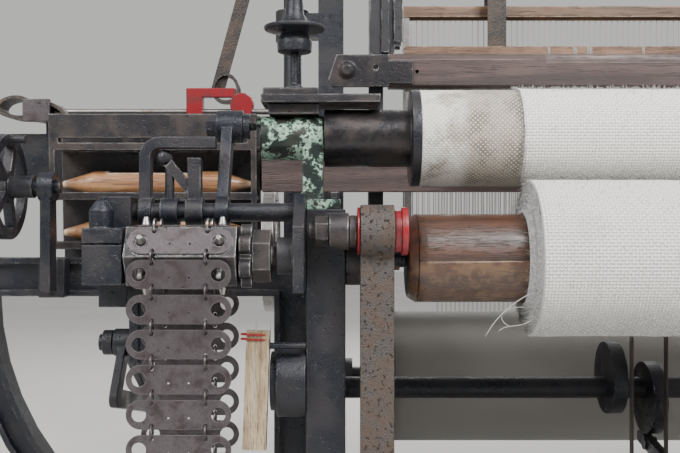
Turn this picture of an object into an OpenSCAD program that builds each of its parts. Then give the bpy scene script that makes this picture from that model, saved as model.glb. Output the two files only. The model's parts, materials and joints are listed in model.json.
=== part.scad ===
// Power loom with overpick, a drop box on the weaver's left and a card chain.
// Origin: middle of the footprint, on the floor. X runs to the weaver's right,
// Y from the weaver to the back, Z up.

/* [Frame] */
// Distance between the middles of the two side frames
frame_span = 1240; // [1200:10:1300]
// Width of a side frame's flanges across the loom
flange_w = 50; // [44:1:56]
// Thickness of a side frame's web
web_t = 14; // [10:1:20]
// Width of the main members of a side frame
member_w = 60; // [54:1:70]
// Height of the front post, on which the roller bearing stands
post_h = 772; // [760:1:790]
// Height of the middle rail's centre line
rail_z = 640; // [620:1:650]
// Height of the bottom rail's centre line
low_rail_z = 185; // [170:1:200]
// Front post, middle line in depth
front_y = -535; // [-545:1:-530]
// Rear post, middle line in depth
rear_y = 545; // [535:1:555]
// Height of the arch beam's top over the healds
arch_top = 1470; // [1450:5:1500]

/* [Cloth rollers] */
// Depth of the take-up roller's axis
roll_y = -472; // [-476:1:-468]
// Height of the take-up roller's axis over the front post
roll_rise = 98; // [94:1:104]
// Radius of the take-up roller over its covering
roll_r = 65.5; // [62:0.5:66]
// Space between the covering's end and a side frame
cover_gap = 100; // [90:1:115]
// Radius of the take-up roller's steel shaft
roll_shaft_r = 39; // [34:1:42]
// Radius of the take-up roller's journals
journal_r = 20; // [16:1:22]
// Depth of the cloth roller's axis
cloth_y = -530; // [-534:1:-526]
// Height of the cloth roller's axis
cloth_z = 709; // [704:1:710]
// Radius of the wooden cloth roller
wood_r = 57.5; // [50:0.5:62]
// Space between the wooden roller's end and a side frame
wood_gap = 79; // [75:1:90]
// Radius of the cloth wound on it
cloth_r = 103; // [90:0.5:103]
// Width of the cloth
cloth_w = 726; // [600:2:760]
// Thickness of the cloth
cloth_t = 1.2; // [0.8:0.1:1.6]

/* [Sley] */
// Depth of the rocking shaft
rock_y = -120; // [-124:1:-116]
// Height of the rocking shaft
rock_z = 150; // [140:1:160]
// Forward lean of the sley at rest, in degrees
lean = 3.8; // [3.4:0.1:4.2]
// Height of the race above the rocking shaft
race_h = 735; // [725:1:740]
// Radius of the rocking shaft
rock_r = 22; // [18:1:26]
// Space between a sword's middle and its side frame
sword_gap = 53; // [49:1:55]
// Length of the sley's wooden beam
beam_len = 1460; // [1430:5:1470]
// Space between the reed's end and a side frame
reed_gap = 100; // [95:1:115]
// Number of gaps in the reed
reed_gaps = 90; // [60:10:110]
// Height of the reed
reed_h = 110; // [104:1:114]
// Height of the reed cap
cap_h = 56; // [50:1:60]

/* [Shuttle boxes] */
// Inner length of a box cell
cell_len = 340; // [334:1:350]
// Distance from one cell's floor to the next
cell_pitch = 81; // [78:1:84]
// Cells in the drop box
cells = 3; // [2:1:3]
// Thickness of the box's plates
plate_t = 6; // [4:0.5:7]
// Outer end of the sley's iron ends, from the middle of the loom
sley_end = 1235; // [1225:1:1240]

/* [Driving] */
// Depth of the crankshaft
crank_y = 250; // [246:1:254]
// Height of the crankshaft
crank_z = 700; // [696:1:704]
// Crank radius
crank_r = 50; // [44:1:52]
// Radius of the crankshaft
shaft_r = 22; // [18:1:24]
// Depth of the bottom shaft
low_y = 200; // [196:1:204]
// Gear module
gear_m = 6; // [6:0.5:6]
// Teeth on the crankshaft's gear; the bottom shaft has twice as many
pinion_teeth = 32; // [32:1:32]
// Radius of the fast and loose pulleys
pulley_r = 150; // [130:5:160]

/* [Healds] */
// Middle height of the heald frames' top staves when both are level
heald_top = 1128; // [1120:1:1134]
// Rise of a heald frame from its lowest to its highest place
heald_lift = 86; // [70:1:90]
// Height of a heald frame between its staves' middles
heald_h = 420; // [400:2:430]
// Depth of the front heald frame
heald_y = 60; // [56:1:62]
// Distance between the two heald frames
heald_gap = 40; // [36:1:44]
// Space between a heald stave's end and a side frame
stave_gap = 117; // [115:1:130]

/* [Card motion] */
// Depth of the card cylinder's axis
card_y = -600; // [-604:1:-596]
// Height of the card cylinder's axis
card_z = 714; // [708:1:720]
// Side of the six-sided cylinder, which is also the pitch of the cards
card_pitch = 41.5; // [40:0.5:43]
// Length of a card
card_len = 125; // [118:1:128]
// Height of a card
card_h = 35; // [33:0.5:36]
// Thickness of a card
card_t = 1.6; // [1.2:0.1:2]
// Cards that hang in each strand
hanging_cards = 10; // [6:1:12]

/* [Warp beam] */
// Depth of the warp beam's axis
beam_y = 465; // [462:1:468]
// Height of the warp beam's axis
beam_z = 400; // [396:1:404]
// Radius of the beam's flanges
beam_flange_r = 175; // [165:1:178]
// Radius of the warp wound on the beam
warp_r = 150; // [120:1:155]

/* [Hidden] */
$fn = 48;
fit = 0.05;          // running fit of a shaft in its bore
slip = 0.3;          // clearance between pieces that slide or swing past each other
side_x = frame_span / 2;
inner_x = side_x - flange_w / 2;
outer_x = side_x + flange_w / 2;
roll_z = post_h + roll_rise;
cover_len = 2 * (inner_x - cover_gap);
cover_half = cover_len / 2;
wood_len = 2 * (inner_x - wood_gap);
wood_half = wood_len / 2;
sword_x = inner_x - sword_gap;
reed_len = 2 * (inner_x - reed_gap);
stave_len = 2 * (inner_x - stave_gap);
race_top = race_h;
reed_bottom = race_top - 6;
cap_bottom = reed_bottom + reed_h - 6;
cap_top = cap_bottom + cap_h;
low_z = crank_z - sqrt(pow(gear_m * pinion_teeth * 1.5, 2) - pow(crank_y - low_y, 2));
heald_rest = [heald_top - heald_lift / 2, heald_top + heald_lift / 2];
box_in = beam_len / 2 + 8;
box_out = box_in + cell_len;
ring_r = 8;             // card rings
wire_r = 1.4;
hex_a = card_pitch * cos(30);
card_x = -(outer_x + 148);
cloth_top_r = roll_r + 0.4;

IRON = "#2b2f37";
WORN = "#6f6a66";
RUST = "#6e4a36";
STEEL = "#9b9aa0";
WOOD = "#6d3f22";
PALE = "#e9e5da";
RED = "#b3202c";
GREEN = "#8fb59f";
LEATHER = "#5a3a26";

// A round bar along X from x0 to x1
module bar_x(x0, x1, r) translate([x0, 0, 0]) rotate([0, 90, 0]) cylinder(r = r, h = x1 - x0);
// A ring along X, with a bore
module ring_x(x0, x1, r, bore)
    difference() {
        bar_x(x0, x1, r);
        bar_x(x0 - 1, x1 + 1, bore);
    }
// A block given by its lowest and highest corners
module block(a, b) translate(a) cube(b - a);
// The same piece on the left and on the right of the loom
module both() {
    children();
    mirror([1, 0, 0]) children();
}
// Flat shape drawn as (depth, height), made thick along X from x0 to x1
module side_plate(x0, x1)
    translate([x0, 0, 0]) rotate([90, 0, 90]) linear_extrude(x1 - x0) children();
// Flat shape drawn as (across, height), made thick along Y from y0 to y1
module front_plate(y0, y1)
    translate([0, y1, 0]) rotate([90, 0, 0]) linear_extrude(y1 - y0) children();
// Straight member between two points with round ends, in the flat
module member(p, q, w) {
    d = q - p;
    translate(p) rotate(atan2(d[1], d[0])) translate([0, -w / 2]) square([norm(d), w]);
    translate(p) circle(w / 2);
    translate(q) circle(w / 2);
}
// Sector of a ring, in the flat
module ring_sector(r0, r1, a0, a1)
    polygon(concat([for (k = [0:12]) r0 * dir2(a0 + (a1 - a0) * k / 12)],
        [for (k = [12:-1:0]) r1 * dir2(a0 + (a1 - a0) * k / 12)]));
function dir2(a) = [cos(a), sin(a)];
// Six-sided nut or bolt head along X
module hex_x(x0, x1, flats)
    translate([x0, 0, 0]) rotate([0, 90, 0]) cylinder(r = flats / 2 / cos(30), h = x1 - x0, $fn = 6);
// Things that swing with the sley: drawn upright over the rocking shaft, then leant forward
module on_sley() translate([0, rock_y, rock_z]) rotate([lean, 0, 0]) children();
function sley_point(v, w) = [0, rock_y + v * cos(lean) - w * sin(lean), rock_z + v * sin(lean) + w * cos(lean)];

// Middle lines of a side frame's members, as (depth, height) pairs
front_top = [front_y, post_h - member_w / 2];
pad_back = [roll_y + 30, post_h - member_w / 2];
rail_front = [-330, rail_z];
mid_x = low_y;
rear_rise = 800;      // height of the rear post
frame_lines = [
    [[front_y, 34], front_top], [front_top, pad_back], [pad_back, rail_front],
    [rail_front, [mid_x, rail_z]], [[mid_x, rail_z], [crank_y + 82, rail_z]],
    [[crank_y + 82, rail_z], [rear_y, rear_rise]], [[rear_y, rear_rise], [rear_y, 34]],
    [[front_y, low_rail_z], [rear_y, low_rail_z]], [[mid_x, rail_z], [mid_x, low_rail_z]]];

module frame_profile(w) {
    for (m = frame_lines)
        member(m[0], m[1], w);
    // quarter braces in the front window and the rear window
    intersection() {
        translate([front_y + 262, rail_z - 250]) ring_sector(250 - w / 4, 250 + w / 4, 90, 180);
        translate([front_y, 0]) square([600, rail_z]);
    }
}

// Cast side frame: web, raised flanges along both edges of each member, feet and shaft bosses
module side_frame_right() {
    rim = 10;
    color(IRON) difference() {
        union() {
            side_plate(side_x - web_t / 2, side_x + web_t / 2) frame_profile(member_w - rim);
            side_plate(inner_x, outer_x) difference() {
                frame_profile(member_w);
                frame_profile(member_w - 2 * rim);
            }
            // front post is closed towards the weaver, with a flat face
            block([inner_x, front_y - member_w / 2, 0], [outer_x, front_y + 4, post_h]);
            // seats for the roller bearing and the arch
            block([inner_x, front_y - member_w / 2, post_h - 22], [outer_x, pad_back[0] + 20, post_h]);
            block([inner_x, arch_y - 55, rail_z], [outer_x, crank_y + 70, rail_z + member_w / 2]);
            // feet
            for (y = [front_y, rear_y])
                block([side_x - 48, y - 50, 0], [side_x + 48, y + 50, 22]);
            // bosses for the bottom shaft and the rocking shaft
            translate([0, low_y, low_z]) bar_x(inner_x - 4, outer_x, 46);
            translate([0, rock_y, rock_z]) bar_x(inner_x - 4, outer_x, 42);
        }
        translate([0, low_y, low_z]) bar_x(inner_x - 10, outer_x + 10, shaft_r + fit);
        translate([0, rock_y, rock_z]) bar_x(inner_x - 10, outer_x + 10, rock_r + fit);
    }
}
module side_frame_left() mirror([1, 0, 0]) side_frame_right();

// Cast cross rails between the side frames, with end flanges
cross_front_z = 300;
cross_low_z = 110;
cross_high_z = 700;
module cross_rail(y, z, h) {
    d = 34;
    block([-inner_x, y - 6, z - h / 2], [inner_x, y + 6, z + h / 2]);
    for (s = [-1, 1])
        block([-inner_x, y - d / 2, z + s * h / 2 - 6], [inner_x, y + d / 2, z + s * h / 2 + 6]);
    for (s = [-1, 1])
        translate([s * (inner_x - 6), y, z]) cube([12, 60, h + 34], center = true);
}
module cross_rails()
    color(IRON) {
        cross_rail(front_y, cross_front_z, 80);
        cross_rail(rear_y, cross_low_z, 90);
        cross_rail(rear_y, cross_high_z, 70);
    }

// Arch over the healds: two legs on the side frames and a beam with a rounded rise
arch_y = 135;
arch_leg_w = 46;
arch_r = 100;
pick_bearing = 1120;  // underside of the picking shafts' upper bearings
module top_arch() {
    foot = rail_z + member_w / 2;
    color(IRON) {
        both() {
            block([inner_x, arch_y - arch_leg_w / 2, foot + 18], [outer_x, arch_y + arch_leg_w / 2, arch_top - arch_r]);
            block([inner_x, arch_y - 50, foot], [outer_x, arch_y + 26, foot + 18]);
        }
        front_plate(arch_y - arch_leg_w / 2, arch_y + arch_leg_w / 2) {
            for (s = [-1, 1])
                translate([s * (outer_x - arch_r), arch_top - arch_r])
                    ring_sector(arch_r - flange_w, arch_r, s > 0 ? 0 : 90, s > 0 ? 90 : 180);
            translate([-(outer_x - arch_r), arch_top - flange_w]) square([2 * (outer_x - arch_r), flange_w]);
        }
        // bearing for the picking shaft on each leg
        both() difference() {
            union() {
                translate([stick_x, stick_y, pick_bearing]) cylinder(r = 34, h = 60);
                block([outer_x, arch_y - 20, pick_bearing + 6], [stick_x, arch_y + 20, pick_bearing + 54]);
            }
            translate([stick_x, stick_y, pick_bearing - 20]) cylinder(r = stick_r + fit, h = 100);
        }
    }
}

// Outrigger: rail with flanges and a quarter-round brace, bolted to the frame's outer side
rig_y0 = -285;
rig_y1 = -245;
rig_out = outer_x + 545;
rig_foot = 130;       // underside of the outriggers' feet
rig_r = 440;
rig_cx = outer_x + 60;
rig_rail_h = 60;
rig_top = rail_z + 61;
module rig_profile(inset) {
    translate([outer_x + inset, rig_top - rig_rail_h + inset])
        square([rig_out - outer_x - 2 * inset, rig_rail_h - 2 * inset]);
    translate([rig_cx, rig_top - 53]) ring_sector(rig_r + inset, rig_r + 44 - inset, -90, 0);
    translate([outer_x + inset, rig_foot + inset]) square([60 - 2 * inset, rig_top - rig_foot - 2 * inset]);
}
module outrigger_right()
    color(IRON) {
        front_plate((rig_y0 + rig_y1) / 2 - 8, (rig_y0 + rig_y1) / 2 + 8) rig_profile(4);
        front_plate(rig_y0, rig_y1) difference() {
            rig_profile(0);
            rig_profile(9);
        }
        block([outer_x, rig_y0, rig_top - rig_rail_h], [outer_x + 14, rig_y1 + 50, rig_top]);
        block([outer_x, rig_y0, rig_foot], [outer_x + 14, rig_y1 + 50, rig_foot + 80]);
    }
module outrigger_left() mirror([1, 0, 0]) outrigger_right();

// Bearing of the take-up roller on the front post: boss, leg and foot
module takeup_bearings() {
    boss_r = 30;
    leg_x = side_x + 5;
    color(GREEN) both() difference() {
        union() {
            translate([0, roll_y, roll_z]) bar_x(side_x + 4, side_x + 88, boss_r);
            side_plate(leg_x, leg_x + 27) {
                polygon([[roll_y - 34, post_h + 14], [roll_y + 34, post_h + 14],
                    [roll_y + boss_r - 3, roll_z], [roll_y - boss_r + 3, roll_z]]);
            }
            block([inner_x + 6, roll_y - 46, post_h], [outer_x + 14, roll_y + 46, post_h + 14]);
            // lug that the lever bracket's pin sits in
            translate([0, roll_y, roll_z + 16]) bar_x(side_x + 60, side_x + 96, 13);
        }
        translate([0, roll_y, roll_z]) bar_x(side_x - 10, side_x + 120, journal_r + fit);
    }
}

// Flat iron plates and bright shims over the bearings, which carry the front of the arch gear
module bearing_plates() {
    z0 = roll_z + 30;
    color(WORN) both() {
        block([side_x + 10, roll_y - 28, z0], [side_x + 78, roll_y + 28, z0 + 14]);
        block([outer_x - 97, roll_y - 40, z0 + 14 + slip], [outer_x + 62, roll_y + 40, z0 + 26]);
        block([outer_x - 14, roll_y - 34, z0 + 26 + slip], [outer_x + 60, roll_y + 30, z0 + 35]);
    }
}

// Bearing blocks of the cloth roller on the inner side of the front posts
module roller_blocks()
    color(WORN) both() difference() {
        union() {
            block([inner_x - 20, cloth_y - 22, cloth_z - 34], [inner_x, cloth_y + 40, cloth_z + 20]);
            translate([0, cloth_y, cloth_z]) bar_x(inner_x - 20, inner_x, 28);
        }
        translate([0, cloth_y, cloth_z]) bar_x(inner_x - 30, inner_x + 10, 12 + fit);
    }

// Hanger: rusty flat bar with a round top, hung on a long bolt in front of the post
hang_y = front_y - member_w / 2 - 23.2;
hang_z = 744;
hang_x0 = inner_x - 60;
hang_x1 = inner_x - 18;
module hanger_bars() {
    low = 60;
    color(RUST) both() difference() {
        union() {
            side_plate(hang_x0, hang_x1) {
                translate([hang_y, hang_z]) circle(r = 33);
                translate([hang_y - 11, 26]) square([22, hang_z - 26]);
            }
            block([hang_x0, hang_y - 11, low], [inner_x, front_y - 36, low + 40]);
            block([inner_x, front_y - 48, low], [outer_x, front_y - member_w / 2, low + 40]);
        }
        translate([0, hang_y, hang_z]) bar_x(hang_x0 - 5, hang_x1 + 5, 10 + fit);
    }
}
// The hanger's bolt with its nuts, collar and flange, in a boss on the post
module hanger_bolts()
    color(RUST) both() {
        translate([0, hang_y, hang_z]) {
            bar_x(hang_x0 - 14, outer_x - 4, 10);
            difference() {
                union() {
                    hex_x(side_x - 4, side_x + 13, 34);
                    bar_x(inner_x - 4, side_x - 4 - slip, 23);
                    bar_x(inner_x - 14, inner_x - 4 - slip, 20);
                }
                bar_x(inner_x - 20, side_x + 20, 10 + fit);
            }
        }
    }
// Red ring beside the bar and red spool on the bolt's inner end
module red_spools()
    color(RED) both() translate([0, hang_y, hang_z]) {
        ring_x(hang_x1 + slip, hang_x1 + 3.6, 30, 10 + fit);
        ring_x(hang_x0 - 9, hang_x0 - slip, 26, 10 + fit);
        ring_x(hang_x0 - 17, hang_x0 - 9, 30, 10 + fit);
    }

// Crankshaft pedestals with caps on the side frames
module crank_bearings() {
    seat = rail_z + member_w / 2;
    color(IRON) both() difference() {
        union() {
            block([inner_x + 4, crank_y - 60, seat], [outer_x - 4, crank_y + 60, seat + 16]);
            block([inner_x + 4, crank_y - 40, seat + 16], [outer_x - 4, crank_y + 40, crank_z]);
            translate([0, crank_y, crank_z]) bar_x(inner_x + 2, outer_x - 2, 38);
            translate([side_x, crank_y, crank_z + 34]) cylinder(r = 9, h = 22);
        }
        translate([0, crank_y, crank_z]) bar_x(inner_x - 10, outer_x + 10, shaft_r + fit);
        block([inner_x, crank_y - 60, seat - 20], [outer_x, crank_y + 60, seat]);
    }
}

// Brackets on the side frames for the warp beam's gudgeons and the picking shafts' feet,
// with the crankshaft's pedestals
module shaft_brackets() {
    crank_bearings();
    beam_in = inner_x - 22;
    color(IRON) {
        both() difference() {
            union() {
                block([beam_in, beam_y - 20, beam_z - 34], [inner_x, rear_y + 20, beam_z + 24]);
                translate([0, beam_y, beam_z]) bar_x(beam_in, inner_x, 40);
            }
            translate([0, beam_y, beam_z]) bar_x(beam_in - 5, inner_x + 5, journal_r + fit);
        }
        both() difference() {
            union() {
                block([outer_x, stick_y - 24, rail_z - 24], [stick_x, stick_y + 24, rail_z + 24]);
                translate([stick_x, stick_y, rail_z - 24]) cylinder(r = 27, h = 48);
            }
            translate([stick_x, stick_y, rail_z - 14]) cylinder(r = stick_r + fit, h = 60);
        }
    }
}

// Guides for the ends of the heald frames, hung under the arch, with bright strips in front
guide_x0 = stave_len / 2 + 5;
guide_x1 = guide_x0 + 62;
module heald_guides() {
    y0 = heald_y - 26;
    y1 = heald_y + heald_gap + 26;
    z0 = heald_top - 66;
    top = arch_top - flange_w;
    color(IRON) both() {
        difference() {
            union() {
                block([guide_x0 + 16, y0 + 10, z0 + 30], [guide_x1, y1, top]);
                translate([guide_x1 - 24, 0, z0 + 30]) front_plate(y0 + 10, y1) circle(24);
            }
            translate([0, heald_y + heald_gap / 2, roller_z]) bar_x(0, guide_x0 + 42, 10 + fit);
        }
        // lips that hold the ends of the frames apart
        for (k = [-1, 0, 1])
            block([guide_x0, heald_y + heald_gap / 2 + k * heald_gap - 4, z0 + 40],
                [guide_x0 + 16, heald_y + heald_gap / 2 + k * heald_gap + 4, roller_z - 40]);
    }
    color(STEEL) both()
        block([guide_x0 + 26, y0 + 4, z0 + 20], [guide_x0 + 40, y0 + 10, top]);
}

// Back rest over the warp beam, on two brackets
rest_y = 556;
rest_z = 888;
rest_r = 28;
module back_rest() {
    color(WORN) translate([0, rest_y, rest_z]) bar_x(-inner_x - 12, inner_x + 12, rest_r);
    color(IRON) both() difference() {
        union() {
            block([inner_x + 8, rest_y - 30, rear_rise + member_w / 2 + fit], [outer_x - 8, rest_y + 26, rest_z]);
            translate([0, rest_y, rest_z]) bar_x(inner_x + 8, outer_x - 8, 40);
        }
        translate([0, rest_y, rest_z]) bar_x(inner_x - 5, inner_x + 12, rest_r + fit);
    }
}
// Sley: everything here is drawn upright over the rocking shaft
sword_t = 24;
sword_in = sword_x - sword_t / 2;
sword_out = sword_x + sword_t / 2;
arm_x = sword_in - 18;
arm_h = crank_z - rock_z;
module rocking_shaft()
    color(STEEL) on_sley() bar_x(-outer_x - 12, outer_x + 12, rock_r);

// Cast swords, tapering upwards, with a boss on the shaft and a lug towards the crank arm
module swords() {
    top = cap_top - 4;
    rocking_shaft();
    color(IRON) on_sley() both() difference() {
        union() {
            side_plate(sword_in, sword_out)
                polygon([[-34, 0], [-24, race_top - 80], [-12, race_top - 30], [-12, top],
                    [14, top], [14, race_top - 30], [30, race_top - 80], [34, 0]]);
            bar_x(sword_in - 8, sword_out + 8, 44);
            translate([0, 0, arm_h]) bar_x(sword_in - 2, sword_out, 30);
        }
        bar_x(sword_in - 20, sword_out + 20, rock_r + fit);
        // lightening slots
        side_plate(sword_in - 1, sword_out + 1) {
            for (z = [120, 330])
                member([0, z], [0, z + 130], 30);
        }
    }
}

// Wooden sley beam with the race on top, grooved for the reed and notched for the swords
module sley_beam() {
    h = 74;
    color(WOOD) on_sley() difference() {
        side_plate(-beam_len / 2, beam_len / 2)
            polygon([[-56, race_top - h], [32, race_top - h], [32, race_top - 22], [14, race_top],
                [-56, race_top]]);
        translate([-reed_len / 2 - slip, -4 - slip, reed_bottom - 0.1]) cube([reed_len + 2 * slip, 8 + 2 * slip, 30]);
        both() block([sword_in - slip, -34, race_top - h - 1], [sword_out + slip, 40, race_top + 1]);
    }
}

// Reed: two baulks and one row of wires between them, with a gap for each warp strip
reed_pitch = reed_len / reed_gaps;
module reed() {
    color(STEEL) on_sley() {
        block([-reed_len / 2, -4, reed_bottom], [reed_len / 2, 4, reed_bottom + 12]);
        block([-reed_len / 2, -4, reed_bottom + reed_h - 12], [reed_len / 2, 4, reed_bottom + reed_h]);
        for (k = [0:reed_gaps])
            translate([min(max(-reed_len / 2 + k * reed_pitch - 1.5, -reed_len / 2), reed_len / 2 - 3), -3,
                reed_bottom + 12])
                cube([3, 6, reed_h - 24]);
    }
}

// Wooden reed cap with a grip recess, seated on the reed's upper baulk
cap_end = inner_x - 74;
module reed_cap() {
    grip = 200;
    color(WOOD) on_sley() difference() {
        side_plate(-cap_end, cap_end)
            polygon([[-26, cap_bottom + 4], [-22, cap_bottom], [24, cap_bottom], [28, cap_bottom + 6],
                [28, cap_top - 12], [16, cap_top], [-16, cap_top], [-26, cap_top - 10]]);
        block([-reed_len / 2 - slip, -4 - slip, cap_bottom - 1],
            [reed_len / 2 + slip, 4 + slip, reed_bottom + reed_h + slip]);
        // grip: a long shallow scoop along the top front edge
        translate([-cap_end + grip + 60, -42, cap_top + 6]) bar_x(0, 2 * (cap_end - grip - 60), 26);
        for (x = [-cap_end + 46, cap_end - 46])
            translate([x, -30, cap_bottom + cap_h / 2 - 2]) rotate([-90, 0, 0]) cylinder(r = 3, h = 16);
    }
}

// Iron end plates that tie the cap to the swords, with a slanted end and a domed bolt
module cap_plates() {
    x0 = cap_end + slip;
    x1 = side_x + 2;
    color(WORN) on_sley() both() difference() {
        union() {
            front_plate(-30, -12 - slip)
                polygon([[x0, cap_bottom + 1], [x1 - 6, cap_bottom + 1], [x1, cap_bottom + 12],
                    [x1 - 14, cap_top - 2], [x0, cap_top - 2]]);
            front_plate(-30, -26 - slip)
                polygon([[x0 - 40, cap_bottom + 6], [x0, cap_bottom + 6], [x0, cap_top - 12],
                    [x0 - 40, cap_top - 12]]);
            translate([x1 - 32, -30, cap_bottom + cap_h / 2]) rotate([90, 0, 0]) cylinder(r1 = 15, r2 = 8, h = 8);
        }
        translate([x0 + 22, -33, cap_bottom + cap_h / 2 + 4]) rotate([-90, 0, 0]) cylinder(r = 4, h = 8);
    }
}

// Iron guides at the sley's ends: a plate behind the boxes with rails, spindle lugs and a stop
guide_v = 42;
guide_back = 50;
rail_mid = -(box_in + box_out) / 2;
rib_w = 40;
spindle_v = (guide_v + guide_back) / 2;
spindle_w = race_top + 62;
spindle_out = box_out + 26;
spindle_in = box_in - 30;
module box_guide(drop) {
    low = drop ? race_top - 250 : race_top - 74;
    on_sley() difference() {
        union() {
            block([-sley_end, guide_v, race_top - 74], [-box_in + 60, guide_back, race_top + 24]);
            block([-box_out - 4, guide_v, low], [-box_in - 4, guide_back, race_top - 60]);
            // foot that reaches the beam's back
            block([-beam_len / 2 + 20, 32, race_top - 70], [-box_in + 60, guide_v, race_top - 30]);
            // spindle lugs
            for (x = [-spindle_out, -spindle_in])
                translate([x - 6, guide_v, race_top - 20]) cube([12, guide_back - guide_v, 96]);
            for (x = [-spindle_out, -spindle_in])
                translate([0, spindle_v, spindle_w]) bar_x(x - 9, x + 9, 14);
            // rails for the drop box's rib, or a packing for the fixed box
            if (drop)
                for (s = [-1, 1])
                    translate([rail_mid + s * (rib_w / 2 + 6 + slip) - 6, 30 + slip, low])
                        cube([12, guide_v - 30 - slip, race_top + 20 - low]);
            else
                block([rail_mid - 60, 30, race_top - 40], [rail_mid + 60, guide_v, race_top + 20]);
        }
        translate([0, spindle_v, spindle_w]) bar_x(-spindle_out - 20, -spindle_in + 20, 5 + fit);
    }
}
module box_guides()
    color(IRON) {
        box_guide(true);
        mirror([1, 0, 0]) box_guide(false);
        right_box();
    }

// One cell: floor, back and a low front lip, open at both ends
module box_cell(floor_w) {
    block([-box_out, -50, floor_w - plate_t], [-box_in, 24, floor_w]);
    block([-box_out, -50, floor_w], [-box_in, -50 + plate_t, floor_w + 7]);
}
// Wooden front board of the top cell, on two posts
module box_front(floor_w) {
    block([-box_out, -50, floor_w + 14], [-box_in, -36, floor_w + 54]);
    for (x = [-box_out, -box_in - 16])
        translate([x, -50, floor_w - 1]) cube([16, 12, 20]);
}
module drop_box() {
    low = race_top - (cells - 1) * cell_pitch - plate_t;
    color(WORN) on_sley() {
        for (k = [0:cells - 1])
            box_cell(race_top - k * cell_pitch);
        block([-box_out, 22, low], [-box_in, 30, race_top + 54]);
        box_front(race_top);
        // rib that slides between the guide's rails, and the lifting rod with its foot
        block([rail_mid - rib_w / 2, 30 + fit, low - 6], [rail_mid + rib_w / 2, guide_v - slip, low + 44]);
        block([rail_mid - 22, -34, low - 12], [rail_mid + 22, 30, low]);
        translate([rail_mid, -12, low - 250]) cylinder(r = 9, h = 242);
        // front corner straps between the cells
        for (x = [-box_out, -box_in - 10], k = [0:cells - 2])
            translate([x, -50, race_top - (k + 1) * cell_pitch]) cube([10, 5, cell_pitch]);
    }
}
module right_box()
    color(WORN) mirror([1, 0, 0]) on_sley() {
        box_cell(race_top);
        block([-box_out, 22, race_top - plate_t], [-box_in, 30, race_top + 54]);
        box_front(race_top);
    }

// Shuttle: a boat-shaped wooden body with a hollow for the pirn and two metal tips
module shuttle() {
    half = cell_len / 2 - 12;
    w = 19;
    color(WOOD) difference() {
        rotate([0, 90, 0]) intersection() {
            translate([0, 0, -half]) cylinder(r = 22, h = 2 * half);
            union() {
                translate([0, 0, -half + 60]) cylinder(r = 24, h = 2 * half - 120);
                for (s = [0, 180])
                    rotate([s, 0, 0]) translate([0, 0, half - 60]) cylinder(r1 = 24, r2 = 5, h = 60);
            }
        }
        translate([-80, -9, 2]) cube([150, 18, 40]);
        translate([-half - 1, -30, -30]) cube([2 * half + 2, 60, 30 - w]);
    }
}
module shuttles()
    for (k = [1:cells - 1])
        on_sley() translate([rail_mid, -12, race_top - k * cell_pitch + 19]) shuttle();

module picker_spindles()
    color(STEEL) both() on_sley()
        translate([0, spindle_v, spindle_w]) bar_x(-spindle_out - 24, -spindle_in + 24, 5);

// Picker: two legs on the spindle joined over the top, with the strap between them
pick_in = box_in + 16;
module picker() {
    on_sley() difference() {
        union() {
            translate([-pick_in - 112, spindle_v - 12, spindle_w - 14]) cube([28, 24, 54]);
            translate([-pick_in - 88, spindle_v - 12, spindle_w + 24]) cube([60, 24, 16]);
            translate([-pick_in - 34, spindle_v - 12, spindle_w - 5]) cube([34, 24, 30]);
            translate([-pick_in - 17, spindle_v, spindle_w + 12])
                rotate([90, 0, 0]) translate([0, 0, -12]) cylinder(r = 20, h = 24);
        }
        translate([0, spindle_v, spindle_w]) bar_x(-pick_in - 130, -pick_in + 20, 5 + fit);
    }
}
module picker_left() color(RED) picker();
module picker_right() color(RED) mirror([1, 0, 0]) picker();

// Picking stick on an upright shaft outside the frame, and the leather strap to the picker
stick_x = outer_x + 52;
stick_y = arch_y;
stick_r = 18;
stick_z = 1268;
strap_x = -pick_in - 58;
strap_lean = 76;
strap_top = 1103;
strap_end = sley_point(spindle_v, strap_top);
stick_tip = [strap_x + strap_lean, strap_end[1] - 16];
module picking_stick() {
    d = [stick_tip[0] + stick_x, stick_tip[1] - stick_y];
    color(STEEL) {
        translate([-stick_x, stick_y, rail_z - 12]) cylinder(r = stick_r, h = stick_z - rail_z + 40);
        translate([-stick_x, stick_y, rail_z + 40]) cylinder(r1 = 23, r2 = 20, h = 46);
    }
    color(IRON) difference() {
        union() {
            translate([-stick_x, stick_y, stick_z - 24]) cylinder(r = 34, h = 46);
            translate([-stick_x, stick_y, stick_z - 16]) rotate(atan2(d[1], d[0]))
                translate([20, -17, 0]) cube([90, 34, 32]);
        }
        translate([-stick_x, stick_y, stick_z - 40]) cylinder(r = stick_r + fit, h = 80);
        translate([-stick_x, stick_y, stick_z - 12]) rotate(atan2(d[1], d[0]))
            translate([40, -13, 0]) cube([90, 26, 24]);
    }
    color(WOOD) translate([-stick_x, stick_y, stick_z - 12]) rotate(atan2(d[1], d[0]))
        translate([40 + slip, -13 + slip, slip]) cube([norm(d) - 40, 26 - 2 * slip, 24 - 2 * slip]);
}
module picking_stick_left() picking_stick();
module picking_stick_right() mirror([1, 0, 0]) picking_stick();
// Leather strap: a flat band from the picker up to just under the stick, leaning inwards
module strap() {
    w0 = spindle_w + 40 + slip;
    on_sley() front_plate(spindle_v - 2, spindle_v + 2)
        polygon([[strap_x - 12, w0], [strap_x + 12, w0], [strap_x + strap_lean + 12, strap_top],
            [strap_x + strap_lean - 12, strap_top]]);
}
module strap_left() color(LEATHER) strap();
module strap_right() color(LEATHER) mirror([1, 0, 0]) strap();

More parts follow.
